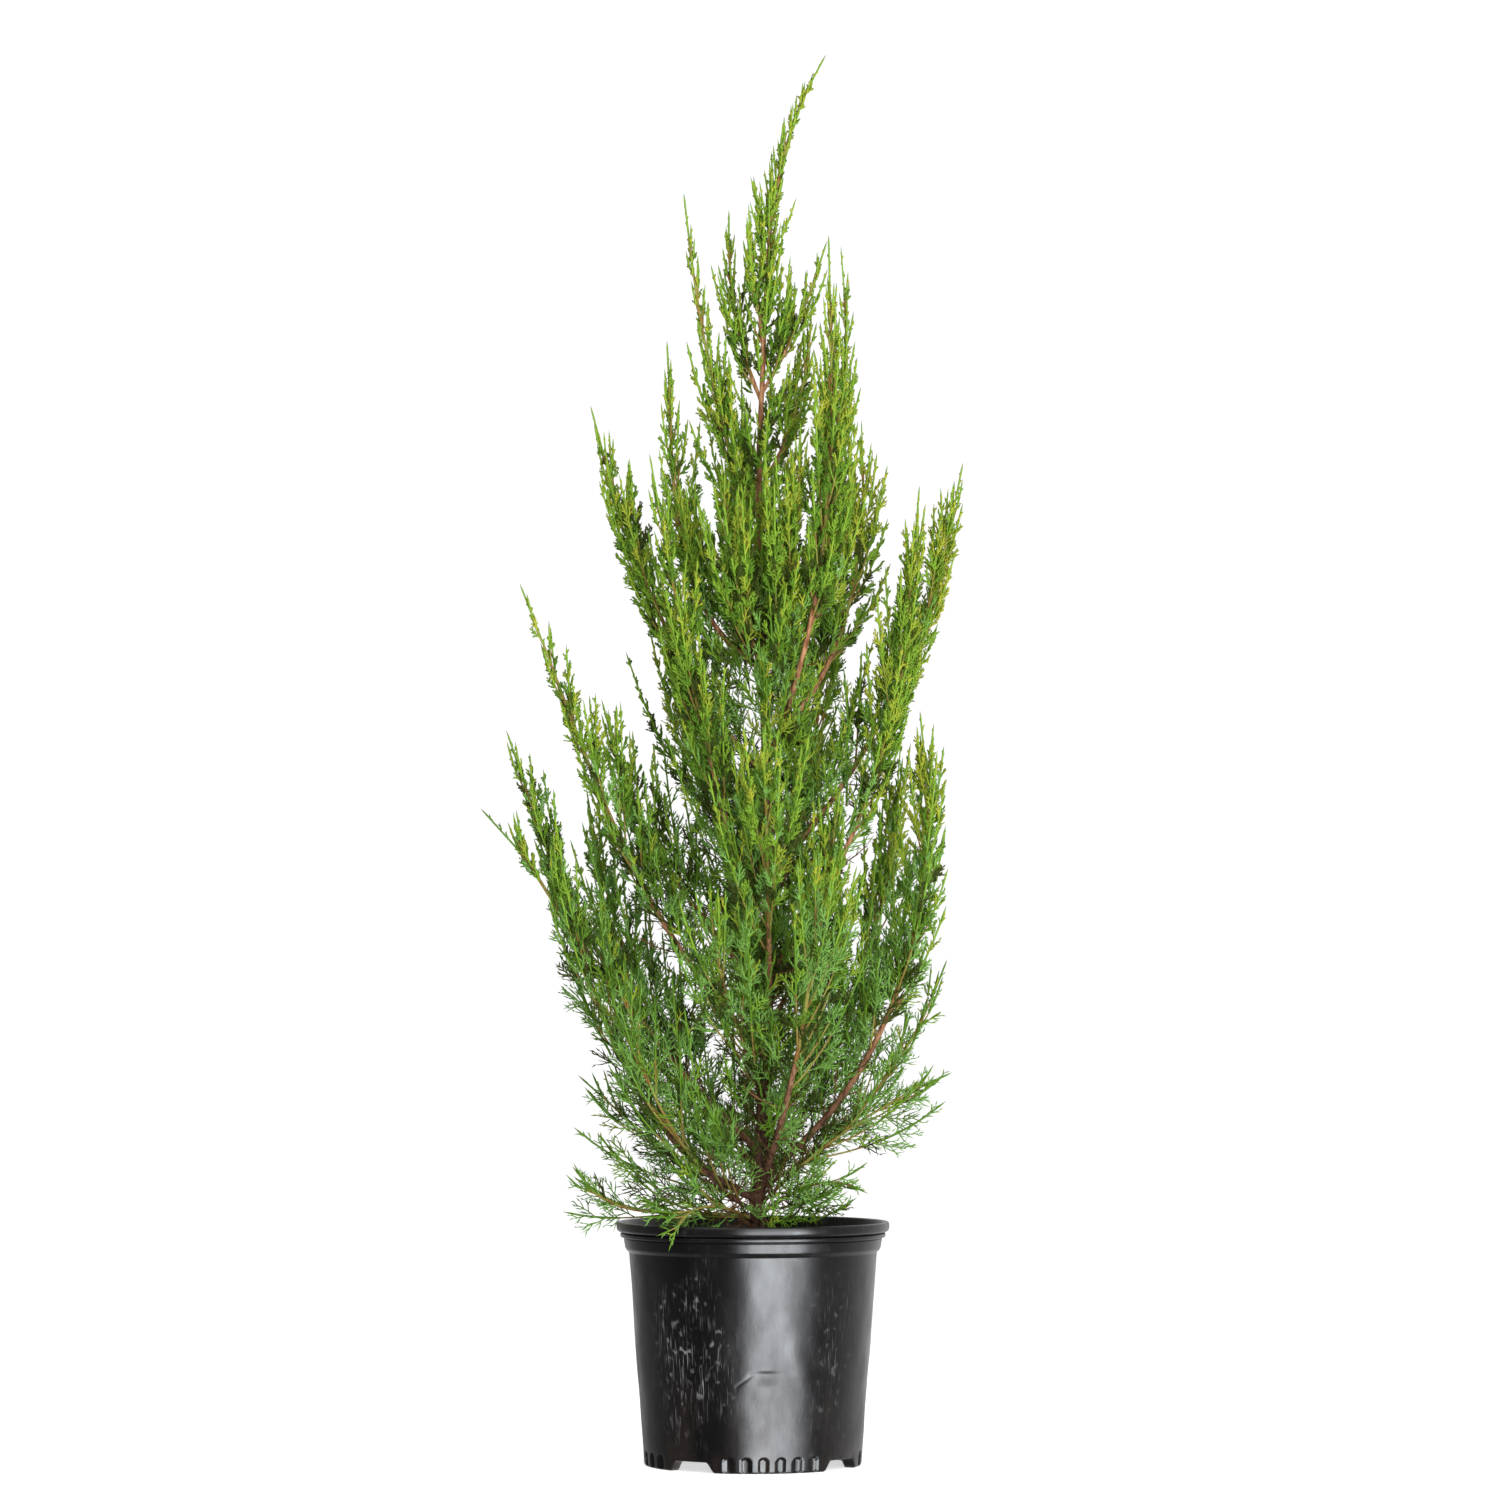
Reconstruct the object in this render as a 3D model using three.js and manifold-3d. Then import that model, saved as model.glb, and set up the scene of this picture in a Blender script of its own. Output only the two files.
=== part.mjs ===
// Upright juniper in a black nursery pot.
// Millimetres, +Z up. The pot stands on z = 0 with its axis through the origin, and the tree's
// front faces -Y. Azimuths turn from +X towards +Y, and leans are measured from upright.

import * as THREE from "three";
import { mergeVertices } from "three/addons/utils/BufferGeometryUtils.js";
import Module from "manifold-3d";

const wasm = await Module();
wasm.setup();

// Clearances
const GAP = 0.3;
const SPACE_MARGIN = 2;
const LIMB_MARGIN = 1.2;
const POT_MARGIN = 2.4;

// Edges shorter than this are merged away
const SCRAP = 0.05;

// Pot: rolled lip, collar and tapering wall on four feet with drain notches between them
const POT = {
  height: 248,
  lipRadius: 140,
  lipHeight: 10,
  lipBevel: 3,
  collarTopRadius: 134,
  collarFootRadius: 130.5,
  collarFoot: 221,
  collarStep: 2,
  wallTopRadius: 127,
  footRadius: 111,
  footBevel: 3,
  wall: 2.6,
  floor: 5,
  sides: 40,
};
const FEET = { count: 4, front: -80 };
const NOTCH = { width: 50, slope: 9, height: 10.5, depth: 17 };
const ARCHES = { perFoot: 6, step: 9.2, width: 8.6, height: 14, depth: 1.5 };
const CUT_START = -1;

// Soil, level with the trunk's flat cut
const SOIL = { top: 222, edgeDrop: 7, level: 30, clear: 0.7 };

// Trunk: radii from its root flare to its tip, and its sway at equal steps of height
const TRUNK = { top: 1188, baseRadius: 7.6, tipRadius: 2.1, sides: 9, rings: 18, crowding: 1.5 };
const FLARE = { radius: 6.5, height: 16 };
const TRUNK_SWAY = [
  [3, 0],
  [13, 2],
  [16, -3],
  [11, 2],
  [6, 0],
  [13, 0],
];

// How far the crown reaches from the pot's axis, and its top
const CROWN = { left: 276, right: 228, front: 212, back: 218, top: 1447 };

// Growth rule shared by every mass. A plume's half-width is greatest for limbs that end at mid
// height; along one stem it swells from the root and tapers to the tip.
const HANDLE = 0.36;
const GOLDEN_TURN = 137.5;
const BOUGH = { lowRadius: 3.9, lowFrom: 270, highRadius: 3, highFrom: 850, sides: 5, rings: 2 };
const STEM = { rootRadius: 2.1, tipRadius: 1, step: 80, taper: 0.8, limbTurn: 77 };
const PLUME = { width: 76, middle: 640, height: 660, slimmer: 38 };
const SWELL = { root: 0.55, rate: 1.5, taper: 0.6, tip: 0.06 };
const TWIG = { spacing: 0.62, first: 0.06, last: 0.9, openLow: 30, openHigh: 14, lift: 0.6, tries: 8 };
const VARY = { along: 0.6, turn: 30, open: 10, length: 0.15 };
const SPRAY = { thickness: 0.05, far: 0.88, sizes: [1.2, 1, 0.8, 0.62] };

// Outline of a spray, one side of it: bearing from the spray's axis and distance from its heart,
// as shares of its length, from the root past two side shoots to the tip.
const SPRAY_HEART = 0.36;
const SPRAY_HALF = [
  [180, 0.36],
  [62, 0.25],
  [36, 0.15],
  [23, 0.44],
  [8, 0.36],
  [0, 0.64],
];

// Main limbs. turn: azimuth; from: height of the root on the trunk; reach and top: the tip's
// distance from the pot's axis and its height; leave and end: the lean at root and tip; bough: the
// share of the length that is a bare bough, where there is one.
const LIMBS = [
  { name: "leader", turn: 0, from: 1188, reach: 72, top: 1445, leave: 2, end: 30 },
  { name: "upper_left", turn: 192, from: 932, reach: 72, top: 1298, leave: 18, end: 6 },
  { name: "upper_left_inner", turn: 139, from: 1091, reach: 33, top: 1286, leave: 28, end: -2 },
  { name: "upper_front", turn: 262, from: 1140, reach: 30, top: 1285, leave: 24, end: 0 },
  { name: "upper_right_inner", turn: 11, from: 1100, reach: 76, top: 1253, leave: 32, end: 18 },
  { name: "right_high", turn: 23, from: 850, reach: 100, top: 1250, leave: 38, end: -6, bough: 0.24 },
  { name: "right_back_high", turn: 35, from: 740, reach: 139, top: 1073, leave: 58, end: -4, bough: 0.2 },
  { name: "right_front", turn: 318, from: 719, reach: 104, top: 1247, leave: 31, end: -2, bough: 0.22 },
  { name: "front_high", turn: 308, from: 785, reach: 79, top: 1060, leave: 32, end: 2 },
  { name: "front_left_high", turn: 242, from: 800, reach: 68, top: 1017, leave: 30, end: 6 },
  { name: "left_high", turn: 170, from: 815, reach: 90, top: 1149, leave: 60, end: 4, bough: 0.24 },
  { name: "left_front_long", turn: 212, from: 517, reach: 123, top: 1024, leave: 22, end: 12, bough: 0.24 },
  { name: "left_back_high", turn: 165, from: 700, reach: 173, top: 1085, leave: 42, end: 15, bough: 0.26 },
  { name: "left_wide", turn: 187, from: 420, reach: 238, top: 894, leave: 46, end: 22, bough: 0.25 },
  { name: "left_back_mid", turn: 158, from: 480, reach: 168, top: 780, leave: 45, end: 14, bough: 0.26 },
  { name: "left_low", turn: 174, from: 320, reach: 254, top: 746, leave: 50, end: 18, bough: 0.3 },
  { name: "left_low_wide", turn: 186, from: 270, reach: 275, top: 665, leave: 70, end: 48, bough: 0.3 },
  { name: "left_front_low", turn: 220, from: 256, reach: 170, top: 510, leave: 66, end: 4 },
  { name: "left_skirt", turn: 165, from: 258, reach: 182, top: 392, leave: 66, end: 50 },
  { name: "left_skirt_low", turn: 196, from: 250, reach: 186, top: 303, leave: 76, end: 25 },
  { name: "front_left_skirt", turn: 239, from: 246, reach: 160, top: 230, leave: 68, end: 155 },
  { name: "front_mid", turn: 275, from: 430, reach: 140, top: 747, leave: 40, end: 0, bough: 0.24 },
  { name: "front_low", turn: 293, from: 275, reach: 168, top: 630, leave: 40, end: 2, bough: 0.28 },
  { name: "right_front_mid", turn: 326, from: 450, reach: 103, top: 691, leave: 44, end: 2 },
  { name: "left_front_mid", turn: 255, from: 370, reach: 165, top: 588, leave: 48, end: 2 },
  { name: "right_wide", turn: 3, from: 600, reach: 216, top: 1022, leave: 43, end: 10, bough: 0.26 },
  { name: "right_wide_inner", turn: 346, from: 500, reach: 175, top: 993, leave: 40, end: 4, bough: 0.24 },
  { name: "right_low", turn: 354, from: 291, reach: 173, top: 764, leave: 54, end: -8, bough: 0.28 },
  { name: "right_skirt_high", turn: 14, from: 280, reach: 205, top: 510, leave: 60, end: 20 },
  { name: "right_skirt", turn: 350, from: 262, reach: 200, top: 398, leave: 44, end: 66 },
  { name: "right_skirt_low", turn: 326, from: 252, reach: 134, top: 282, leave: 55, end: 115 },
  { name: "back_high", turn: 98, from: 790, reach: 85, top: 1120, leave: 38, end: 0 },
  { name: "back_right", turn: 64, from: 560, reach: 175, top: 900, leave: 44, end: 4, bough: 0.25 },
  { name: "back_left", turn: 118, from: 530, reach: 180, top: 880, leave: 44, end: 6, bough: 0.25 },
  { name: "back_mid", turn: 91, from: 400, reach: 195, top: 720, leave: 48, end: 8, bough: 0.25 },
  { name: "back_low_right", turn: 46, from: 300, reach: 226, top: 752, leave: 52, end: 4 },
  { name: "back_low_left", turn: 140, from: 300, reach: 228, top: 690, leave: 54, end: 12 },
  { name: "back_skirt", turn: 88, from: 262, reach: 200, top: 402, leave: 66, end: 45 },
  { name: "upper_right", turn: 12, from: 1000, reach: 62, top: 1190, leave: 34, end: 2 },
];

// Finishes
const finish = (name, color, roughness) => new THREE.MeshStandardMaterial({ name, color, roughness });
const FINISH = {
  pot: finish("black_plastic", 0x141315, 0.38),
  soil: finish("bark_soil", 0x3b2a1f, 0.95),
  bark: finish("bark", 0x6a4636, 0.9),
  foliage: finish("foliage", 0x4f8a32, 0.7),
};

// Solids

// A closed geometry as a solid: shared points are merged and empty faces dropped.
function solidFrom(geometry) {
  const bare = geometry.clone();
  bare.deleteAttribute("normal");
  bare.deleteAttribute("uv");
  const merged = mergeVertices(bare, 1e-4);
  const index = merged.index.array;
  const triangles = [];
  for (let i = 0; i < index.length; i += 3) {
    const [a, b, c] = [index[i], index[i + 1], index[i + 2]];
    if (a !== b && b !== c && c !== a) triangles.push(a, b, c);
  }
  const mesh = new wasm.Mesh({
    numProp: 3,
    vertProperties: Float32Array.from(merged.attributes.position.array),
    triVerts: Uint32Array.from(triangles),
  });
  return new wasm.Manifold(mesh);
}

// The largest body of a solid, without loose scraps.
function mainBody(solid) {
  const bodies = solid.decompose();
  return bodies.reduce((best, body) => (body.volume() > best.volume() ? body : best));
}

function geometryFrom(solid) {
  const { numProp, vertProperties, triVerts } = solid.getMesh();
  const positions = new Float32Array((vertProperties.length / numProp) * 3);
  for (let i = 0; i < positions.length / 3; i += 1) {
    positions.set(vertProperties.subarray(i * numProp, i * numProp + 3), i * 3);
  }
  const geometry = new THREE.BufferGeometry();
  geometry.setAttribute("position", new THREE.BufferAttribute(positions, 3));
  geometry.setIndex(new THREE.BufferAttribute(Uint32Array.from(triVerts), 1));
  geometry.computeVertexNormals();
  return geometry;
}

function node(name, solid, material) {
  const mesh = new THREE.Mesh(geometryFrom(solid), material);
  mesh.name = name;
  return mesh;
}

// Directions and chance

const UP = new THREE.Vector3(0, 0, 1);
const radians = THREE.MathUtils.degToRad;
const lerp = THREE.MathUtils.lerp;

function outward(azimuth) {
  return new THREE.Vector3(Math.cos(radians(azimuth)), Math.sin(radians(azimuth)), 0);
}

// A repeatable number from 0 to 1 for one draw of one twig of one limb.
function chance(limb, twig, draw) {
  let mix = Math.imul(limb + 1, 0x9e3779b1);
  mix ^= Math.imul(twig + 1, 0x85ebca6b);
  mix ^= Math.imul(draw + 1, 0xc2b2ae35);
  mix = Math.imul(mix ^ (mix >>> 15), 0x2c1b3c6d);
  mix = Math.imul(mix ^ (mix >>> 12), 0x297a2d39);
  return ((mix ^ (mix >>> 15)) >>> 0) / 2 ** 32;
}

// Tapering wood

const trunkRise = (TRUNK.top - SOIL.top) / (TRUNK_SWAY.length - 1);
const trunkStations = TRUNK_SWAY.map(([x, y], i) => new THREE.Vector3(x, y, SOIL.top + trunkRise * i));
const trunkCurve = new THREE.CatmullRomCurve3(trunkStations, false, "catmullrom", 0.5);

function trunkPoint(height) {
  const share = (height - SOIL.top) / (TRUNK.top - SOIL.top);
  return trunkCurve.getPoint(THREE.MathUtils.clamp(share, 0, 1));
}

function trunkRadius(height) {
  const above = height - SOIL.top;
  const taper = lerp(TRUNK.baseRadius, TRUNK.tipRadius, above / (TRUNK.top - SOIL.top));
  return taper + FLARE.radius * Math.exp(-above / FLARE.height);
}

// Two directions square to a tangent, the second one lying along a chosen side.
function squareTo(tangent, side) {
  const across = side.clone().addScaledVector(tangent, -side.dot(tangent)).normalize();
  return [across.clone().cross(tangent), across];
}

// A unit cylinder or cone whose rings are set along a path and turned to a side.
function bend(shape, pointAt, tangentAt, side, radiusAt) {
  const position = shape.attributes.position;
  const spot = new THREE.Vector3();
  for (let i = 0; i < position.count; i += 1) {
    spot.fromBufferAttribute(position, i);
    const along = THREE.MathUtils.clamp(spot.y + 0.5, 0, 1);
    const [first, second] = squareTo(tangentAt(along), side);
    const ring = Math.max(Math.hypot(spot.x, spot.z), 1e-6);
    const place = pointAt(along);
    place.addScaledVector(first, (spot.x / ring) * radiusAt(along));
    place.addScaledVector(second, (-spot.z / ring) * radiusAt(along));
    position.setXYZ(i, place.x, place.y, place.z);
  }
  return solidFrom(shape);
}

// The trunk, grown outwards by an extra radius, with its rings crowded towards the flare.
function trunkSolid(extra) {
  const heightAt = (along) => lerp(SOIL.top + GAP, TRUNK.top, along ** TRUNK.crowding);
  const shape = new THREE.CylinderGeometry(1, 1, 1, TRUNK.sides, TRUNK.rings);
  const radiusAt = (along) => trunkRadius(heightAt(along)) + extra;
  return bend(shape, (along) => trunkPoint(heightAt(along)), () => UP, outward(90), radiusAt);
}

// Limbs

function leaning(azimuth, lean) {
  const level = outward(azimuth).multiplyScalar(Math.sin(radians(lean)));
  return level.addScaledVector(UP, Math.cos(radians(lean)));
}

function limbCurve({ turn, from, reach, top, leave, end }) {
  const root = trunkPoint(from);
  const tip = outward(turn).multiplyScalar(reach).setZ(top);
  const handle = root.distanceTo(tip) * HANDLE;
  const control1 = root.clone().addScaledVector(leaning(turn, leave), handle);
  const control2 = tip.clone().addScaledVector(leaning(turn, end), -handle);
  return new THREE.CubicBezierCurve3(root, control1, control2, tip);
}

const PATH_STEPS = 36;

// A limb with its curve, the radius along it and the straight stretches of its mass's stem.
function prepareLimb(size, number) {
  const curve = limbCurve(size);
  const bough = size.bough ?? 0;
  const rise = (size.from - BOUGH.lowFrom) / (BOUGH.highFrom - BOUGH.lowFrom);
  const rootRadius = bough > 0 ? lerp(BOUGH.lowRadius, BOUGH.highRadius, rise) : STEM.rootRadius;
  const length = curve.getLength() * (1 - bough);
  const steps = Math.max(3, Math.round(length / STEM.step));
  return {
    ...size,
    number,
    curve,
    bough,
    length,
    steps,
    radiusAt: (share) => lerp(rootRadius, STEM.tipRadius, share ** STEM.taper),
    width: PLUME.width - PLUME.slimmer * ((size.top - PLUME.middle) / PLUME.height) ** 2,
    side: outward(size.turn + 90),
    stem: Array.from({ length: steps + 1 }, (_, i) => curve.getPoint(lerp(bough, 1, i / steps))),
    path: curve.getPoints(PATH_STEPS),
  };
}

// A point on the straight stretches of a mass's stem.
function stemPoint({ stem, steps }, along) {
  const step = Math.min(Math.floor(along * steps), steps - 1);
  return stem[step].clone().lerp(stem[step + 1], along * steps - step);
}

const limbs = LIMBS.map(prepareLimb);
const trunkPath = limbs[0].path.map((_, i) => trunkPoint(lerp(SOIL.top, TRUNK.top, i / PATH_STEPS)));

function boughSolid(limb) {
  const place = (along) => along * limb.bough;
  const whole = bend(
    new THREE.CylinderGeometry(1, 1, 1, BOUGH.sides, BOUGH.rings),
    (along) => limb.curve.getPoint(place(along)),
    (along) => limb.curve.getTangent(place(along)),
    limb.side,
    (along) => limb.radiusAt(place(along)),
  );
  return mainBody(whole.subtract(trunkClear));
}

// Own space

const nearest = new THREE.Vector3();
const stretch = new THREE.Line3();

// Distance from a point to a path, and the share of the path where it is nearest.
function pathDistance(point, path) {
  let best = Infinity;
  let share = 0;
  for (let i = 0; i + 1 < path.length; i += 1) {
    stretch.set(path[i], path[i + 1]);
    const part = stretch.closestPointToPointParameter(point, true);
    const distance = stretch.at(part, nearest).distanceTo(point);
    if (distance < best) {
      best = distance;
      share = (i + part) / (path.length - 1);
    }
  }
  return [best, share];
}

// Points that are all above the pot's rim, all outside its lip or all inside its wall.
function clearOfPot(points) {
  const radius = (point) => Math.hypot(point.x, point.y);
  const above = (point) => point.z > POT.height + POT_MARGIN;
  const outside = (point) => radius(point) > POT.lipRadius + POT_MARGIN;
  const inside = (point) =>
    radius(point) < POT.wallTopRadius - POT.wall - POT_MARGIN && point.z > SOIL.top + POT_MARGIN;
  return [above, outside, inside].some((test) => points.every(test));
}

function inCrown({ x, y, z }) {
  return x > -CROWN.left && x < CROWN.right && y > -CROWN.front && y < CROWN.back && z < CROWN.top;
}

// A point is in a mass's own space where that mass's stem is the nearest limb of all.
function inOwnSpace(limb, point) {
  if (!inCrown(point)) return false;
  const [own, share] = pathDistance(point, limb.path);
  if (limb.bough > 0 && share < limb.bough + 0.01) return false;
  const [fromTrunk, trunkShare] = pathDistance(point, trunkPath);
  if (fromTrunk < trunkRadius(lerp(SOIL.top, TRUNK.top, trunkShare)) + LIMB_MARGIN) return false;
  return limbs.every((other) => {
    if (other === limb) return true;
    const [distance, place] = pathDistance(point, other.path);
    return distance > own + SPACE_MARGIN && distance > other.radiusAt(place) + LIMB_MARGIN;
  });
}

// Foliage

// Half-width of a plume along its stem, as a share of its widest.
function plumeShare(along) {
  const swelling = Math.min(1, SWELL.root + SWELL.rate * along);
  return swelling * (1 - along) ** SWELL.taper + SWELL.tip;
}

// The whole outline, turning one way round from the root, as shares along and across the spray.
// The far side's shoots are a little shorter.
const farSide = SPRAY_HALF.slice(1, -1).reverse();
const sprayOutline = [
  ...SPRAY_HALF.map(([bearing, distance]) => [-bearing, distance]),
  ...farSide.map(([bearing, distance]) => [bearing, distance * SPRAY.far]),
].map(([bearing, distance]) => [
  SPRAY_HEART + distance * Math.cos(radians(bearing)),
  distance * Math.sin(radians(bearing)),
]);

// One spray's outline in space, lying square to its keel, with the two faces' middles.
function sprayPoints({ root, direction, keel, length }) {
  const [across, upright] = squareTo(direction, keel);
  const place = (along, side, rise) => {
    const point = root.clone().addScaledVector(direction, along * length);
    return point.addScaledVector(across, side * length).addScaledVector(upright, rise * length);
  };
  return {
    edge: sprayOutline.map(([along, side]) => place(along, side, 0)),
    upper: place(SPRAY_HEART, 0, SPRAY.thickness / 2),
    lower: place(SPRAY_HEART, 0, -SPRAY.thickness / 2),
  };
}

// Points all over a spray but its root: the outline, the middle of each stretch of it, and the
// points halfway from there to the heart.
function sprayProbes(size) {
  const { edge, upper, lower } = sprayPoints(size);
  const heart = upper.clone().lerp(lower, 0.5);
  const outline = edge.slice(1);
  const middles = outline.slice(1).map((point, i) => point.clone().lerp(outline[i], 0.5));
  const inner = [...outline, ...middles].map((point) => point.clone().lerp(heart, 0.5));
  return [...outline, ...middles, ...inner];
}

// A toothed blade, thickest at its heart and thin at its edges: a ball of two rings of faces whose
// poles are the middles and whose equator is the outline.
function spraySolid(size) {
  const { edge, upper, lower } = sprayPoints(size);
  const shape = new THREE.SphereGeometry(1, edge.length, 2);
  const position = shape.attributes.position;
  for (let i = 0; i < position.count; i += 1) {
    const rise = Math.round(position.getY(i));
    const rim = edge[(i % (edge.length + 1)) % edge.length];
    const point = rise === 0 ? rim : rise > 0 ? upper : lower;
    position.setXYZ(i, point.x, point.y, point.z);
  }
  return solidFrom(shape);
}

// The stem of a mass, a gap clear of the tip of its bough or of the trunk.
function stemSolid(limb) {
  const onTip = limb.bough > 0 || limb.from >= TRUNK.top;
  const start = stemPoint(limb, onTip ? GAP / limb.length : 0);
  const place = (along) => lerp(limb.bough, 1, along);
  return bend(
    new THREE.ConeGeometry(1, 1, 3, limb.steps),
    (along) => (along > 0 ? stemPoint(limb, along) : start.clone()),
    (along) => limb.curve.getTangent(place(along)),
    limb.side,
    (along) => (along < 1 ? limb.radiusAt(place(along)) : 0),
  );
}

// The way a twig points that opens from its stem on one side of it.
function twigDirection(tangent, side, turn, open) {
  const [first, second] = squareTo(tangent, side);
  const direction = first.multiplyScalar(Math.cos(turn)).addScaledVector(second, Math.sin(turn));
  direction.multiplyScalar(Math.sin(open)).addScaledVector(tangent, Math.cos(open));
  return direction.addScaledVector(UP, TWIG.lift).normalize();
}

// The twigs of one mass: where each leaves the stem, how far it goes and the ways it may take.
function growTwigs(limb) {
  const count = Math.max(3, Math.round(limb.length / (TWIG.spacing * limb.width)));
  return Array.from({ length: count }, (_, i) => {
    const draw = (number) => chance(limb.number, i, number);
    const place = (i + VARY.along * draw(0)) / (count - 1 + VARY.along);
    const along = lerp(TWIG.first, TWIG.last, place);
    const tangent = limb.curve.getTangent(lerp(limb.bough, 1, along));
    const turn = i * GOLDEN_TURN + limb.number * STEM.limbTurn + VARY.turn * draw(1);
    const open = radians(lerp(TWIG.openLow, TWIG.openHigh, along) + VARY.open * (draw(2) - 0.5));
    const spread = limb.width * plumeShare(along) * lerp(1 - VARY.length, 1 + VARY.length, draw(3));
    return {
      root: stemPoint(limb, along),
      tangent,
      length: Math.min(spread / Math.sin(open), limb.length * (1 - along)),
      ways: Array.from({ length: TWIG.tries }, (_unused, step) =>
        twigDirection(tangent, limb.side, radians(turn + step * GOLDEN_TURN), open),
      ),
    };
  });
}

// The largest spray that stays in the mass's own space, of all its sizes and ways.
function fittingSpray(limb, { root, tangent, length, ways }, flat) {
  const stays = (size) => {
    const probes = sprayProbes(size);
    return clearOfPot([root, ...probes]) && probes.every((point) => inOwnSpace(limb, point));
  };
  const choices = SPRAY.sizes.flatMap((share) =>
    ways.map((direction) => {
      const keel = flat ? tangent : direction.clone().cross(tangent).normalize();
      return { root, direction, keel, length: length * share };
    }),
  );
  return choices.find(stays);
}

// A whole mass: its stem with a spray on each twig, every second one lying flat.
function massSolid(limb) {
  const pieces = [stemSolid(limb)];
  growTwigs(limb).forEach((twig, i) => {
    const size = fittingSpray(limb, twig, i % 2 === 1);
    if (size) pieces.push(spraySolid(size));
  });
  return mainBody(wasm.Manifold.union(pieces).subtract(trunkClear)).simplify(SCRAP);
}

// Pot and soil

function lathe(profile, sides) {
  const points = profile.map(([radius, height]) => new THREE.Vector2(radius, height));
  return solidFrom(new THREE.LatheGeometry(points, sides).rotateX(Math.PI / 2));
}

function wallRadius(height) {
  return lerp(POT.footRadius, POT.wallTopRadius, height / POT.collarFoot);
}

// An upright outline pushed through the pot's wall, centred on one azimuth.
function wallCutter(outline, azimuth, innerRadius, outerRadius) {
  const depth = outerRadius - innerRadius;
  const shape = new THREE.ExtrudeGeometry(outline, { depth, bevelEnabled: false, curveSegments: 2 });
  shape.translate(0, 0, innerRadius);
  shape.rotateX(Math.PI / 2);
  shape.rotateZ(Math.PI);
  shape.rotateZ(radians(azimuth - 90));
  return solidFrom(shape);
}

function notchOutline() {
  const half = NOTCH.width / 2;
  const outline = new THREE.Shape();
  outline.moveTo(-half, CUT_START);
  outline.lineTo(half, CUT_START);
  outline.lineTo(half - NOTCH.slope, NOTCH.height);
  outline.lineTo(-half + NOTCH.slope, NOTCH.height);
  return outline;
}

function archOutline() {
  const half = ARCHES.width / 2;
  const outline = new THREE.Shape();
  outline.moveTo(half, CUT_START);
  outline.lineTo(half, ARCHES.height - half);
  outline.absarc(0, ARCHES.height - half, half, 0, Math.PI, false);
  outline.lineTo(-half, CUT_START);
  return outline;
}

function potSolid() {
  const lipFoot = POT.height - POT.lipHeight;
  const innerTop = POT.collarTopRadius - POT.wall;
  const body = lathe(
    [
      [0, 0],
      [POT.footRadius - POT.footBevel, 0],
      [POT.footRadius, POT.footBevel],
      [POT.wallTopRadius, POT.collarFoot - POT.collarStep],
      [POT.collarFootRadius, POT.collarFoot],
      [POT.collarTopRadius, lipFoot],
      [POT.lipRadius, lipFoot],
      [POT.lipRadius, POT.height - POT.lipBevel],
      [POT.lipRadius - POT.lipBevel, POT.height],
      [innerTop, POT.height],
      [POT.wallTopRadius - POT.wall, POT.collarFoot],
      [wallRadius(POT.floor) - POT.wall, POT.floor],
      [0, POT.floor],
    ],
    POT.sides,
  );
  const cutters = [];
  for (let foot = 0; foot < FEET.count; foot += 1) {
    const centre = FEET.front + foot * (360 / FEET.count);
    const between = centre + 180 / FEET.count;
    cutters.push(wallCutter(notchOutline(), between, POT.footRadius - NOTCH.depth, POT.lipRadius));
    for (let arch = 0; arch < ARCHES.perFoot; arch += 1) {
      const azimuth = centre + (arch - (ARCHES.perFoot - 1) / 2) * ARCHES.step;
      cutters.push(wallCutter(archOutline(), azimuth, POT.footRadius - ARCHES.depth, POT.lipRadius));
    }
  }
  return mainBody(body.subtract(wasm.Manifold.union(cutters)));
}

function soilSolid() {
  const inset = POT.wall + SOIL.clear;
  const edge = SOIL.top - SOIL.edgeDrop;
  return lathe(
    [
      [0, POT.floor + GAP],
      [wallRadius(POT.floor) - inset, POT.floor + GAP],
      [wallRadius(edge) - inset, edge],
      [SOIL.level, SOIL.top],
      [0, SOIL.top],
    ],
    POT.sides / 2,
  );
}

// The tree

const trunkClear = trunkSolid(GAP);

const tree = new THREE.Group();
tree.name = "juniper_tree";
tree.add(node("pot", potSolid(), FINISH.pot));
tree.add(node("soil", soilSolid(), FINISH.soil));
tree.add(node("trunk", trunkSolid(0), FINISH.bark));
for (const limb of limbs) {
  if (limb.bough > 0) tree.add(node(`bough_${limb.name}`, boughSolid(limb), FINISH.bark));
  tree.add(node(`foliage_${limb.name}`, massSolid(limb), FINISH.foliage));
}

export default tree;
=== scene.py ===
"""Upright young juniper in a black nursery pot: its looks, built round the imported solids."""

import math
from types import SimpleNamespace

import bpy
import numpy as np
from bpy.props import FloatProperty, FloatVectorProperty, IntProperty, PointerProperty
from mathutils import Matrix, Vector


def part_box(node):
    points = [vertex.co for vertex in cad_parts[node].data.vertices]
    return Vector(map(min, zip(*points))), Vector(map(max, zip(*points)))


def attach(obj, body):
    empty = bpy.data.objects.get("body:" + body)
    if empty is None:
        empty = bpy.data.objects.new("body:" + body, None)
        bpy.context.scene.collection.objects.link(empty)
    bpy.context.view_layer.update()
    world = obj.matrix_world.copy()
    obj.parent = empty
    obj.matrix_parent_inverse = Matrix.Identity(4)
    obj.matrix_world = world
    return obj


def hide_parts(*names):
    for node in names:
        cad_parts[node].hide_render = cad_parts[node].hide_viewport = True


bl_info = {
    "name": "Potted juniper",
    "version": (1, 0, 0),
    "blender": (4, 5, 0),
    "location": "3D View > Sidebar > Juniper",
    "description": "Builds the looks of a potted juniper tree round its solids",
    "category": "Object",
}

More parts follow.
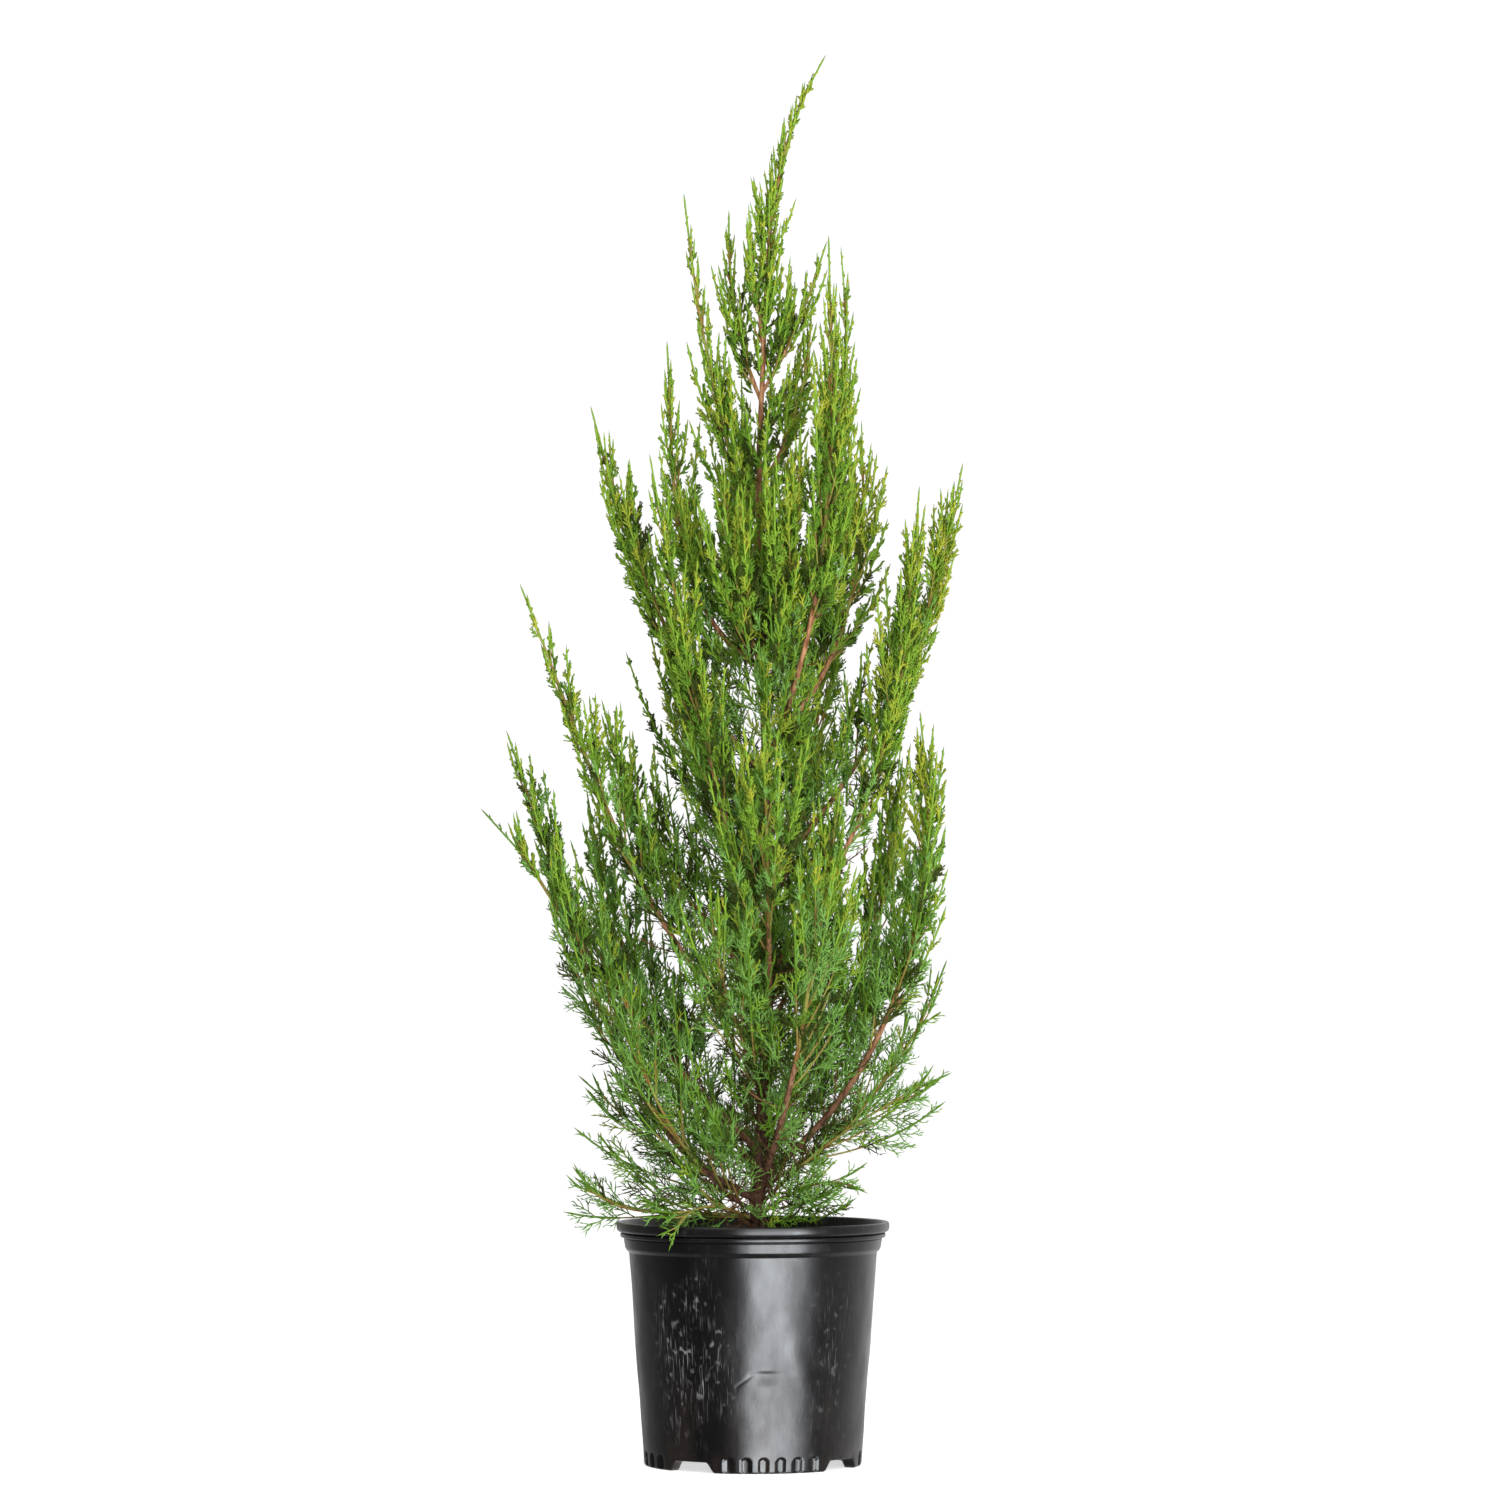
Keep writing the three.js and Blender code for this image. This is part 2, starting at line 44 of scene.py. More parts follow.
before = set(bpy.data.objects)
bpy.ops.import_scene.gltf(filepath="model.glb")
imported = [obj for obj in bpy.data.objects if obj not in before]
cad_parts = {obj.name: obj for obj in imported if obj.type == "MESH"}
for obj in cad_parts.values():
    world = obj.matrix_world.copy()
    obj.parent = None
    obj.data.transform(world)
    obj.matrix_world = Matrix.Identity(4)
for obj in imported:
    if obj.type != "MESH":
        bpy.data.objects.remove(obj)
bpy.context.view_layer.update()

# Named lengths are in millimetres and angles in degrees, unless a heading says metres
MM = 0.001
UP = np.array([0.0, 0.0, 1.0])
GOLDEN_TURN = 137.5
STEM_TURN = 77

# Pot: widening of the wall as a share for each metre of height, radii that part its outside from its
# inside, feet, notches between the feet and arches along them
WALL_TAPER = 0.664
WALL = SimpleNamespace(low=110.2, high=126.0, height=217, slack=0.6)
FEET = SimpleNamespace(first=-80, between=90, top=18, under=0.5, inside=(96.5, 99.5))
NOTCH = SimpleNamespace(height=10.5, flat=9.5, end=14.5)
ARCH = SimpleNamespace(step=9.2, radius=112, top=11.5, low=2.5, low_squeeze=3, edge=(3.6, 4.9))

# Steps of the pot's profile: coarse all round, fine outside at the feet and at the dent
PROFILE = SimpleNamespace(coarse=6.0, fine=1.1, outside=100, feet=17, dent=(80, 108))

# Dent in the front: a flat with a crease above it, and a fainter crease that runs down to the left
FRONT = SimpleNamespace(reach=60, low=50, high=120)
DENT = SimpleNamespace(middle=15, width=14, rise=(86, 98.5), fall=(99.5, 105))
CREASE = SimpleNamespace(x=-17, z=87, right=15.7, up=12.1, depth=0.2, width=1.7)

# Waves in the wall: how many round the pot, height of each, seed and depth
WAVES = ((12, 60, 3, 1.2), (40, 24, 4, 0.5))
WAVE_RISE = (25, 60)
WAVE_FALL = (190, 214)

# Worn bands of the wall: start, rise, fall and end, in metres
WORN_LEFT = (-0.108, -0.08, -0.035, -0.012)
WORN_RIGHT = (0.05, 0.075, 0.09, 0.105)
WORN_HEIGHT = (0.02, 0.06, 0.17, 0.205)

# Soil: its lowest point, its top, how far it dips at the wall and the height of its bumps
SOIL = SimpleNamespace(floor=190, top=221, radius=124, dip=6, bumps=3.2)

# Trunk: height of the soil and of the tip, and sway to the right and back at equal steps of height
SOIL_TOP = 222.0
TRUNK_TOP = 1188.0
TRUNK_SWAY = ((3, 0), (13, 2), (16, -3), (11, 2), (6, 0), (13, 0))

# Heights in metres between which bark turns from dark to orange, and the old share of each limb
TRUNK_REDDENS = (0.55, 0.95)
LIMB_REDDENS = (0.26, 0.56)
OLD_SHARE = SimpleNamespace(bough=0.42, stem=0.3, skirt=0.1)

# The crown's extents, which twigs keep to and green ends and leaves pass by a few millimetres
CROWN_LOW = np.array([-276.0, -212.0, 214.0])
CROWN_HIGH = np.array([228.0, 218.0, 1449.0])

# The pot's rim and soil as twigs keep clear of them
RIM = SimpleNamespace(inside=119, soil=226, outside=144, top=252)

# Shape of a limb and of the plume round it
HANDLE = 0.36
BOUGH = SimpleNamespace(low_radius=3.9, low_from=270, high_radius=3.0, high_from=850)
STEM = SimpleNamespace(root_radius=2.1, tip_radius=1.0, taper=0.8)
PLUME = SimpleNamespace(width=76, middle=640, height=660, slimmer=38)

# Side stems of a limb: number, place along it, opening, lift, length, and how the outer ones differ
SIDE = SimpleNamespace(
    spacing=0.62,
    finer=2.4,
    sparse=0.7,
    fewest=6,
    first=0.06,
    last=0.86,
    ahead=0.004,
    open_low=30,
    open_high=14,
    lift=0.6,
    level=0.15,
    keep=0.8,
    short=0.72,
    slim_top=0.58,
    slim_heights=(800, 1260),
    slim_end=0.5,
    slim_along=(0.2, 0.75),
    under=0.45,
    under_front=-0.8,
    under_along=(0.45, 0.85),
    tries=8,
)
VARY = SimpleNamespace(along=0.6, turn=30, open=10, length=0.15)
SPRAY_SIZES = (1.2, 1.0, 0.8, 0.62)
SPACE_MARGIN = 2.0

# Leafy stems on the bare stretches of the limbs, and on the trunk: first, last and step of heights
INNER = SimpleNamespace(along=0.3, bare=0.22, spacing=9, length=(90, 190), short_heights=(650, 1000))
TRUNK_SPANS = ((236, 330, 8), (330, 640, 9), (640, 860, 6), (860, 1160, 12))
TRUNK_STEM = SimpleNamespace(
    along=0.35,
    front=(200, 330),
    left=(140, 210),
    left_heights=(640, 860),
    lean=(40, 26),
    wide=32,
    wide_heights=(250, 420),
    wider=14,
    wider_heights=(236, 290),
    length=(100, 175),
    short=0.55,
    short_heights=(700, 1100),
)

# Dry twigs: seed, stretches of the trunk and limbs that carry them, and the number, opening and length
# of the twigs and of their ends
DRY = SimpleNamespace(
    seed=23,
    trunk=(228, 520),
    limb=(0.02, 0.3),
    rooted_below=720,
    trunk_count=130,
    limb_count=10,
    open=(40, 80),
    length=(18, 62),
    end_spacing=6,
    end_span=(0.15, 0.95),
    end_open=(30, 60),
    end_length=(4, 13),
)

# Stems as carriers of twigs: limbs themselves, and side stems
LIMB_AXIS = SimpleNamespace(
    first=0.06, girth=0.4, slim=0.66, slim_heights=(850, 1250), along=0.2, bare_heights=(700, 1000)
)
SIDE_AXIS = SimpleNamespace(
    girth=0.33, least=12, most=32, slim=0.75, slim_heights=(850, 1200), bare=0.25
)
AXIS_POINTS = 25
UNDER = SimpleNamespace(share=0.45, heights=(330, 400))

# Where fronds are fine or stout, and what differs there
FINE = SimpleNamespace(
    heights=(380, 620),
    inner=0.75,
    inner_heights=(780, 960),
    spacing=2.1,
    length=1.5,
    open=1.3,
    radius=0.66,
)
STOUT = SimpleNamespace(heights=(900, 1200), radius=1.06)

# Twigs on stems, shoots on twigs and branchlets on shoots: number, place, turn, opening, length, lift
TWIG = SimpleNamespace(
    fewest=3,
    span=(0.04, 0.99),
    turn_vary=50,
    open=(33, 16),
    open_vary=12,
    vary=(0.7, 1.3),
    lift=(0.3, 0.05),
    points=4,
)
SHOOT = SimpleNamespace(
    spacing=1.5,
    fewer=0,
    fewest=1,
    span=(0.08, 0.97),
    roll=1.5,
    open=(31, 22),
    open_vary=12,
    fine_open=1.25,
    share=0.4,
    least=2.6,
    limits=(3.2, 18),
    vary=(0.75, 1.25),
    lift=(0.2, 0.04),
    points=3,
)
BRANCHLET = SimpleNamespace(
    spacing=1.7,
    fewer=0.4,
    fewest=0,
    span=(0.12, 0.9),
    roll=1.8,
    open=(34, 34),
    open_vary=16,
    fine_open=1,
    share=0.42,
    least=1.8,
    limits=(2.4, 8),
    vary=(0.8, 1.2),
    lift=(0.1, 0.1),
    points=2,
)

# Limbs: name, turn about the trunk, height of the root, reach of the tip, height of the tip,
# lean where it leaves and where it ends (degrees from upright), bare share of its length
LIMBS = (
    ("leader", 0, 1188, 72, 1445, 2, 30, 0),
    ("upper_left", 192, 932, 72, 1298, 18, 6, 0),
    ("upper_left_inner", 139, 1091, 33, 1286, 28, -2, 0),
    ("upper_front", 262, 1140, 30, 1285, 24, 0, 0),
    ("upper_right_inner", 11, 1100, 76, 1253, 32, 18, 0),
    ("right_high", 23, 850, 100, 1250, 38, -6, 0.24),
    ("right_back_high", 35, 740, 139, 1073, 58, -4, 0.2),
    ("right_front", 318, 719, 104, 1247, 31, -2, 0.22),
    ("front_high", 308, 785, 79, 1060, 32, 2, 0),
    ("front_left_high", 242, 800, 68, 1017, 30, 6, 0),
    ("left_high", 170, 815, 90, 1149, 60, 4, 0.24),
    ("left_front_long", 212, 517, 123, 1024, 22, 12, 0.24),
    ("left_back_high", 165, 700, 173, 1085, 42, 15, 0.26),
    ("left_wide", 187, 420, 238, 894, 46, 22, 0.25),
    ("left_back_mid", 158, 480, 168, 780, 45, 14, 0.26),
    ("left_low", 174, 320, 254, 746, 50, 18, 0.3),
    ("left_low_wide", 186, 270, 275, 665, 70, 48, 0.3),
    ("left_front_low", 220, 256, 170, 510, 66, 4, 0),
    ("left_skirt", 165, 258, 182, 392, 66, 50, 0),
    ("left_skirt_low", 196, 250, 186, 303, 76, 25, 0),
    ("front_left_skirt", 239, 246, 160, 230, 68, 155, 0),
    ("front_mid", 275, 430, 140, 747, 40, 0, 0.24),
    ("front_low", 293, 275, 168, 630, 40, 2, 0.28),
    ("right_front_mid", 326, 450, 103, 691, 44, 2, 0),
    ("left_front_mid", 255, 370, 165, 588, 48, 2, 0),
    ("right_wide", 3, 600, 216, 1022, 43, 10, 0.26),
    ("right_wide_inner", 346, 500, 175, 993, 40, 4, 0.24),
    ("right_low", 354, 291, 173, 764, 54, -8, 0.28),
    ("right_skirt_high", 14, 280, 205, 510, 60, 20, 0),
    ("right_skirt", 350, 262, 200, 398, 44, 66, 0),
    ("right_skirt_low", 326, 252, 134, 282, 55, 115, 0),
    ("back_high", 98, 790, 85, 1120, 38, 0, 0),
    ("back_right", 64, 560, 175, 900, 44, 4, 0.25),
    ("back_left", 118, 530, 180, 880, 44, 6, 0.25),
    ("back_mid", 91, 400, 195, 720, 48, 8, 0.25),
    ("back_low_right", 46, 300, 226, 752, 52, 4, 0),
    ("back_low_left", 140, 300, 228, 690, 54, 12, 0),
    ("back_skirt", 88, 262, 200, 402, 66, 45, 0),
    ("upper_right", 12, 1000, 62, 1190, 34, 2, 0),
)

# Limbs whose plumes are slimmer or wider than the rest, and the height below which a tip is a skirt's
SLENDER = {
    "leader": 1.55,
    "right_front": 1.2,
    "left_wide": 0.72,
    "left_back_mid": 0.7,
    "left_low": 0.8,
    "left_low_wide": 0.8,
    "left_high": 0.8,
    "left_back_high": 0.95,
    "left_front_long": 0.85,
    "right_wide_inner": 0.8,
    "right_skirt_high": 0.75,
    "right_low": 0.85,
}
SKIRT_TOP = 450

# Greens of the sprays as display colours, and the shares at which light turns one into the next; the
# darker greens, shade most of all, are partly dull inner growth and partly painted shade inside the
# crown
GREENS = (
    ("tip", (156, 164, 47)),
    ("fresh", (136, 155, 41)),
    ("mid", (116, 152, 40)),
    ("deep", (86, 124, 27)),
    ("blue", (112, 156, 70)),
    ("shade", (58, 72, 13)),
)
GREEN = {name: number for number, (name, _) in enumerate(GREENS)}
DARK_TO_LIGHT = np.array([GREEN[name] for name in ("shade", "deep", "mid", "fresh", "tip")])
LIGHT_STEPS = (0.12, 0.36, 0.68, 0.92)

# What makes a spray light, with painted light that lightens sprays toward the key lamp on the right,
# and how often one is bluish: low down, on fine fronds and in the shade
LIGHT = SimpleNamespace(
    height=0.13, share=0.25, along=0.15, outer=0.03, right=0.0002, mood=0.2, chance=0.27
)
BLUE = SimpleNamespace(often=0.65, heights=(0.08, 0.46), fine=0.5, shade=0.5)

# Most triangles in a piece of foliage, and about how many tubes are made at once
PIECE_TRIANGLES = 190000
BLOCK_TUBES = 3000

# Lamps: place, point that each is aimed at, width, height and colour, in metres
LAMPS = (
    ("key", (1.2, -3.3, 1.6), (0, 0, 1.0), 3.0, 2.6, (1, 1, 1)),
    ("low", (1.25, -3.3, -0.9), (0, 0, 0.1), 3.3, 2.2, (0.92, 0.96, 1.0)),
    ("fill", (-1.6, -1.8, 3.0), (0, 0, 0.7), 2.0, 2.0, (1, 1, 1)),
)

# Floor: half its width and its glow; surround: shares of its strength in front and on the left
FLOOR_REACH = 200000.0
FLOOR_GLOW = 0.62
FRONT_SURROUND = 0.24
LEFT_SURROUND = 0.3


def linear(red, green, blue):
    """Linear colour for a display colour from 0 to 255."""
    parts = []
    for value in (red, green, blue):
        share = value / 255
        parts.append(share / 12.92 if share <= 0.04045 else ((share + 0.055) / 1.055) ** 2.4)
    return tuple(parts)


def colour_property(label, red, green, blue):
    """A colour setting with a display colour as its default."""
    return FloatVectorProperty(
        name=label,
        description=f"{label} as a linear colour",
        subtype="COLOR",
        size=3,
        min=0,
        max=1,
        default=linear(red, green, blue),
    )


def length_property(label, meaning, default):
    """A length setting in metres."""
    return FloatProperty(
        name=label, description=meaning, default=default, min=0, unit="LENGTH", subtype="DISTANCE"
    )


def place_property(label, meaning, default):
    """A place setting in metres."""
    return FloatVectorProperty(
        name=label, description=meaning, default=default, size=3, unit="LENGTH", subtype="TRANSLATION"
    )


def number_property(label, meaning, default, unit="NONE", least=0):
    """A number setting with a lower limit."""
    return FloatProperty(name=label, description=meaning, default=default, min=least, unit=unit)


def count_property(label, meaning, default, least=0):
    """A whole number setting with a lower limit."""
    return IntProperty(name=label, description=meaning, default=default, min=least)


class JuniperPotSettings(bpy.types.PropertyGroup):
    """Sizes and colours of the pot and its soil."""

    height: length_property("Height", "Height of the pot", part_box("pot")[1].z)
    rim_radius: length_property("Rim radius", "Radius of the lip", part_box("pot")[1].x)
    foot_radius: length_property("Foot radius", "Radius of the wall at the floor", 0.111)
    arch_depth: length_property("Arch depth", "Depth of the dents along the feet", 0.003)
    dent_depth: length_property("Dent depth", "Depth of the dent in the front", 0.0012)
    segments: count_property("Segments", "Steps round the pot", 400, 96)
    chips: count_property("Chips", "Pieces of bark on the soil", 700)
    plastic: colour_property("Plastic", 10, 8, 10)
    scuff: colour_property("Scuffs", 150, 148, 150)
    dust: colour_property("Dust", 92, 74, 60)
    soil_dark: colour_property("Dark soil", 44, 29, 21)
    soil_pale: colour_property("Pale soil", 104, 70, 48)


class JuniperWoodSettings(bpy.types.PropertyGroup):
    """Sizes and colours of the trunk, the boughs and the stems."""

    base_radius: length_property("Base radius", "Radius of the trunk above its flare", 0.0076)
    tip_radius: length_property("Tip radius", "Radius of the trunk at its tip", 0.0021)
    flare: length_property("Root flare", "Radius that the flare adds at the soil", 0.004)
    relief: length_property("Relief", "Depth of the strips of bark on the trunk", 0.0011)
    trunk_dark: colour_property("Dark bark", 34, 21, 18)
    trunk_pale: colour_property("Pale bark", 100, 68, 54)
    limb_dark: colour_property("Dark limb", 110, 64, 37)
    limb_pale: colour_property("Pale limb", 184, 136, 97)
    young_dark: colour_property("Dark young stem", 132, 92, 46)
    young_pale: colour_property("Pale young stem", 136, 146, 68)
    dry_dark: colour_property("Dark dry twig", 72, 46, 30)
    dry_pale: colour_property("Pale dry twig", 128, 92, 58)


class JuniperFoliageSettings(bpy.types.PropertyGroup):
    """Spacing and size of the twigs, shoots and branchlets."""

    twig_spacing: length_property("Twig spacing", "Distance between twigs on a stem", 0.0068)
    shoot_spacing: length_property("Shoot spacing", "Distance between shoots on a twig", 0.003)
    leaf_spacing: length_property("Branchlet spacing", "Distance between branchlets", 0.0052)
    leaf_radius: length_property("Branchlet radius", "Radius of a branchlet", 0.00102)
    seed: count_property("Seed", "Seed of the fine growth", 7)


class JuniperStageSettings(bpy.types.PropertyGroup):
    """Camera and light."""

    camera: place_property("Camera", "Place of the camera", (-0.003, -5.5, 0.5))
    target: place_property("Target", "Point that the camera looks at", (-0.003, 0.0, 0.7315))
    lens: number_property("Lens", "Focal length in millimetres", 128.4, "CAMERA", 1)
    surround: number_property("Surround", "Strength of the white surround", 1.05)
    key: number_property("Key light", "Power of the softbox in front", 130.0, "POWER")
    low: number_property("Low light", "Power of the low panel that the pot mirrors", 390.0, "POWER")
    fill: number_property("Fill light", "Power of the light from above", 25.0, "POWER")
    floor: colour_property("Floor", 245, 245, 245)


# Chance, noise and small vector helpers


def chance(first, second, draw):
    """A number from 0 to 1 that depends only on three whole numbers."""
    mask = np.uint64(0xFFFFFFFF)
    mix = np.uint64(0)
    for value, factor in ((first, 0x9E3779B1), (second, 0x85EBCA6B), (draw, 0xC2B2AE35)):
        whole = np.asarray(value).astype(np.int64).astype(np.uint64)
        mix = mix ^ ((whole + np.uint64(1)) * np.uint64(factor) & mask)
    mix = (mix ^ (mix >> np.uint64(15))) * np.uint64(0x2C1B3C6D) & mask
    mix = (mix ^ (mix >> np.uint64(12))) * np.uint64(0x297A2D39) & mask
    return (mix ^ (mix >> np.uint64(15))).astype(float) / 2**32


def blend(low, high, share):
    """The value at a share of the way from low to high."""
    return low + (high - low) * share


def ramp(value, low, high):
    """Smooth rise from 0 at low to 1 at high."""
    share = np.clip((value - low) / (high - low), 0, 1)
    return share * share * (3 - 2 * share)


def noise(across, along, seed, period=None):
    """Smooth noise from 0 to 1 on a plane, repeating every so many steps across if asked."""
    column = np.floor(across).astype(int)
    row = np.floor(along).astype(int)
    right = ramp(across - column, 0, 1)
    above = ramp(along - row, 0, 1)

    def corner(step_across, step_along):
        place = column + step_across
        if period:
            place = place % period
        return chance(place + 5000, row + step_along + 5000, seed)

    low = blend(corner(0, 0), corner(1, 0), right)
    high = blend(corner(0, 1), corner(1, 1), right)
    return blend(low, high, above)


def unit(vectors):
    """The vectors at length one."""
    size = np.linalg.norm(vectors, axis=-1, keepdims=True)
    return vectors / np.maximum(size, 1e-9)


def outward(degrees):
    """Level direction at an angle about the trunk."""
    angle = np.radians(np.asarray(degrees, float))
    return np.stack([np.cos(angle), np.sin(angle), np.zeros_like(angle)], axis=-1)


def leaning(turn, lean):
    """Direction that leans out from upright."""
    angle = math.radians(lean)
    return outward(turn) * math.sin(angle) + UP * math.cos(angle)


# The tree's skeleton, in millimetres


def trunk_point(height):
    """Middle of the trunk at a height."""
    sway = np.array(TRUNK_SWAY, float)
    knots = np.vstack([2 * sway[0] - sway[1], sway, 2 * sway[-1] - sway[-2]])
    last = len(sway) - 1
    height = np.asarray(height, float)
    place = np.clip((height - SOIL_TOP) / (TRUNK_TOP - SOIL_TOP), 0, 1) * last
    step = np.minimum(place.astype(int), last - 1)
    t = (place - step)[..., None]
    before, here, there, after = (knots[step + shift] for shift in range(4))
    slope_here = (there - before) / 2
    slope_there = (after - here) / 2
    level = (
        here * (2 * t**3 - 3 * t**2 + 1)
        + slope_here * (t**3 - 2 * t**2 + t)
        + there * (3 * t**2 - 2 * t**3)
        + slope_there * (t**3 - t**2)
    )
    return np.concatenate([level, height[..., None]], axis=-1)


def limb_path(limb, shares):
    """Points of a limb at shares of its curve."""
    t = np.asarray(shares, float)[..., None]
    root, leave, end, tip = limb.controls
    inner = root * (1 - t) ** 3 + leave * 3 * t * (1 - t) ** 2
    return inner + end * 3 * t**2 * (1 - t) + tip * t**3


def limb_radius(limb, shares):
    """Radius of a limb at shares of its curve."""
    return blend(limb.root_radius, STEM.tip_radius, np.asarray(shares, float) ** STEM.taper)


def make_limbs():
    """Every limb with its curve, width and radius."""
    limbs = []
    for number, (name, turn, root, reach, top, leave, end, bough) in enumerate(LIMBS):
        start = trunk_point(root)
        tip = outward(turn) * reach + UP * top
        handle = np.linalg.norm(start - tip) * HANDLE
        out = start + leaning(turn, leave) * handle
        back = tip - leaning(turn, end) * handle
        limb = SimpleNamespace(name=name, number=number, turn=turn, bough=bough)
        limb.controls = (start, out, back, tip)
        share = (root - BOUGH.low_from) / (BOUGH.high_from - BOUGH.low_from)
        thick = blend(BOUGH.low_radius, BOUGH.high_radius, share)
        limb.root_radius = thick if bough else STEM.root_radius
        limb.width = PLUME.width - PLUME.slimmer * ((top - PLUME.middle) / PLUME.height) ** 2
        limb.samples = limb_path(limb, np.linspace(0, 1, 73))
        limb.slender = SLENDER.get(name, 1)
        limb.skirt = top < SKIRT_TOP
        limb.reach = np.linalg.norm(np.diff(limb.samples, axis=0), axis=1).sum()
        limb.length = limb.reach * (1 - bough)
        limbs.append(limb)
    return limbs


def swell(along):
    """Share of its width that a plume has along its stem."""
    return np.minimum(1, 0.55 + 1.5 * along) * (1 - along) ** 0.6 + 0.06


def in_own_space(limb, limbs, points):
    """Whether all the points are nearer to this limb than to any other, and within the crown."""
    if (points < CROWN_LOW).any() or (points > CROWN_HIGH).any():
        return False
    samples = np.stack([other.samples for other in limbs])
    away = np.linalg.norm(points[:, None, None] - samples, axis=3).min(axis=2)
    own = away[:, limb.number].copy()
    away[:, limb.number] = np.inf
    return bool((away.min(axis=1) > own + SPACE_MARGIN).all())


def side_stems(limbs):
    """The side stems of every limb: share along it, root, direction and length."""
    found = []
    for limb in limbs:
        finer = SIDE.finer * (SIDE.sparse if limb.skirt else 1)
        sideways = blend(SIDE.under_front, 1, abs(math.cos(math.radians(limb.turn))))
        count = max(SIDE.fewest, round(limb.length / (SIDE.spacing * limb.width) * finer))
        for twig in range(count):
            draws = chance(limb.number, twig, np.arange(4))
            place = (twig + VARY.along * draws[0]) / (count - 1 + VARY.along)
            along = blend(SIDE.first, SIDE.last, place)
            share = blend(limb.bough, 1, along)
            root, ahead = limb_path(limb, [share, min(share + SIDE.ahead, 1)])
            spread = limb.width * limb.slender * swell(along)
            spread = spread * blend(1 - VARY.length, 1 + VARY.length, draws[3])
            slim = blend(1, SIDE.slim_top, ramp(root[2], *SIDE.slim_heights))
            under = SIDE.under * sideways * (1 - ramp(along, *SIDE.under_along))
            stem = SimpleNamespace(
                root=root,
                tangent=unit(ahead - root),
                turn=twig * GOLDEN_TURN + limb.number * STEM_TURN + VARY.turn * draws[1],
                opening=blend(SIDE.open_low, SIDE.open_high, along) + VARY.open * (draws[2] - 0.5),
                spread=spread * blend(1, SIDE.slim_end, ramp(along, *SIDE.slim_along)) * slim,
                longest=limb.length * (1 - along) * SIDE.short * slim,
                under=0 if limb.skirt else under,
            )
            fitting = fitting_stem(limb, limbs, stem)
            if fitting is not None:
                found.append((along, root, *fitting))
    return found


def fitting_stem(limb, limbs, stem):
    """Direction and length of the first side stem that stays in its limb's own space; stems on the
    outer side are shorter on a limb to the left or right, and longer on one in front or behind."""
    away = outward(limb.turn)
    away = unit(away - stem.tangent * (away @ stem.tangent))
    opening = math.radians(stem.opening)
    lift = SIDE.level if limb.skirt else SIDE.lift
    for size in SPRAY_SIZES:
        for step in range(SIDE.tries):
            turn = stem.turn + step * GOLDEN_TURN
            angle = math.radians(turn)
            side = outward(turn + 90)
            across = unit(np.cross(np.cross(stem.tangent, side), stem.tangent))
            radial = np.cross(across, stem.tangent) * math.cos(angle) + across * math.sin(angle)
            straight = radial * math.sin(opening) + stem.tangent * math.cos(opening)
            direction = unit(straight + UP * lift)
            slope = np.linalg.norm(np.cross(direction, stem.tangent))
            slope = max(slope, math.sin(opening) * SIDE.keep)
            reach = min(stem.spread / slope, stem.longest) * size
            reach = reach * (1 - stem.under * max(0.0, radial @ away))
            tip = stem.root + direction * reach
            probes = np.stack([tip, blend(stem.root, tip, 0.75), blend(stem.root, tip, 0.5)])
            if clear_of_pot(probes).all() and (limb.skirt or in_own_space(limb, limbs, probes)):
                return direction, reach
    return None


# Meshes from arrays


def quadratic(start, middle, end, steps):
    """Points along quadratic curves, one row for each curve."""
    t = np.linspace(0, 1, steps)[None, :, None]
    return start[:, None] * (1 - t) ** 2 + middle[:, None] * 2 * t * (1 - t) + end[:, None] * t**2


def level_side(paths):
    """A level direction square to each path as a whole."""
    ahead = paths[:, -1] - paths[:, 0]
    level = np.stack([-ahead[:, 1], ahead[:, 0], np.zeros(len(ahead))], axis=1)
    level[:, 0] += 1e-6
    return unit(level)


def tubes(paths, radii, sides, pointed=True, capped=False):
    """Points and triangles of tubes along paths; radii hold one value a ring, or one a corner."""
    count, rings = paths.shape[:2]
    if radii.ndim == 2:
        radii = radii[:, :, None]
    tangent = unit(np.gradient(paths, axis=1))
    across = unit(np.cross(tangent, level_side(paths)[:, None]))
    other = np.cross(tangent, across)
    angle = np.arange(sides) * 2 * math.pi / sides
    ring = across[:, :, None] * np.cos(angle)[:, None] + other[:, :, None] * np.sin(angle)[:, None]
    corners = paths[:, :, None] + ring * radii[..., None]
    solid_rings = rings - 1 if pointed else rings
    points = corners[:, :solid_rings].reshape(count, -1, 3)
    faces = []
    for step in range(solid_rings - 1):
        for side in range(sides):
            low = step * sides + side
            low_next = step * sides + (side + 1) % sides
            faces.append((low, low_next, low_next + sides))
            faces.append((low, low_next + sides, low + sides))
    last = (solid_rings - 1) * sides
    if pointed:
        apex = solid_rings * sides
        points = np.concatenate([points, paths[:, -1:]], axis=1)
        faces.extend((last + side, last + (side + 1) % sides, apex) for side in range(sides))
    elif capped:
        faces.extend((last, last + side, last + side + 1) for side in range(1, sides - 1))
    if capped:
        faces.extend((0, side + 1, side) for side in range(1, sides - 1))
    faces = np.array(faces)
    size = points.shape[1]
    every = faces[None] + (np.arange(count) * size)[:, None, None]
    return points.reshape(-1, 3), every.reshape(-1, 3)


def joined(parts):
    """One set of points and triangles from several."""
    points, faces, shift = [], [], 0
    for part_points, part_faces in parts:
        points.append(part_points)
        faces.append(part_faces + shift)
        shift += len(part_points)
    return np.concatenate(points), np.concatenate(faces)


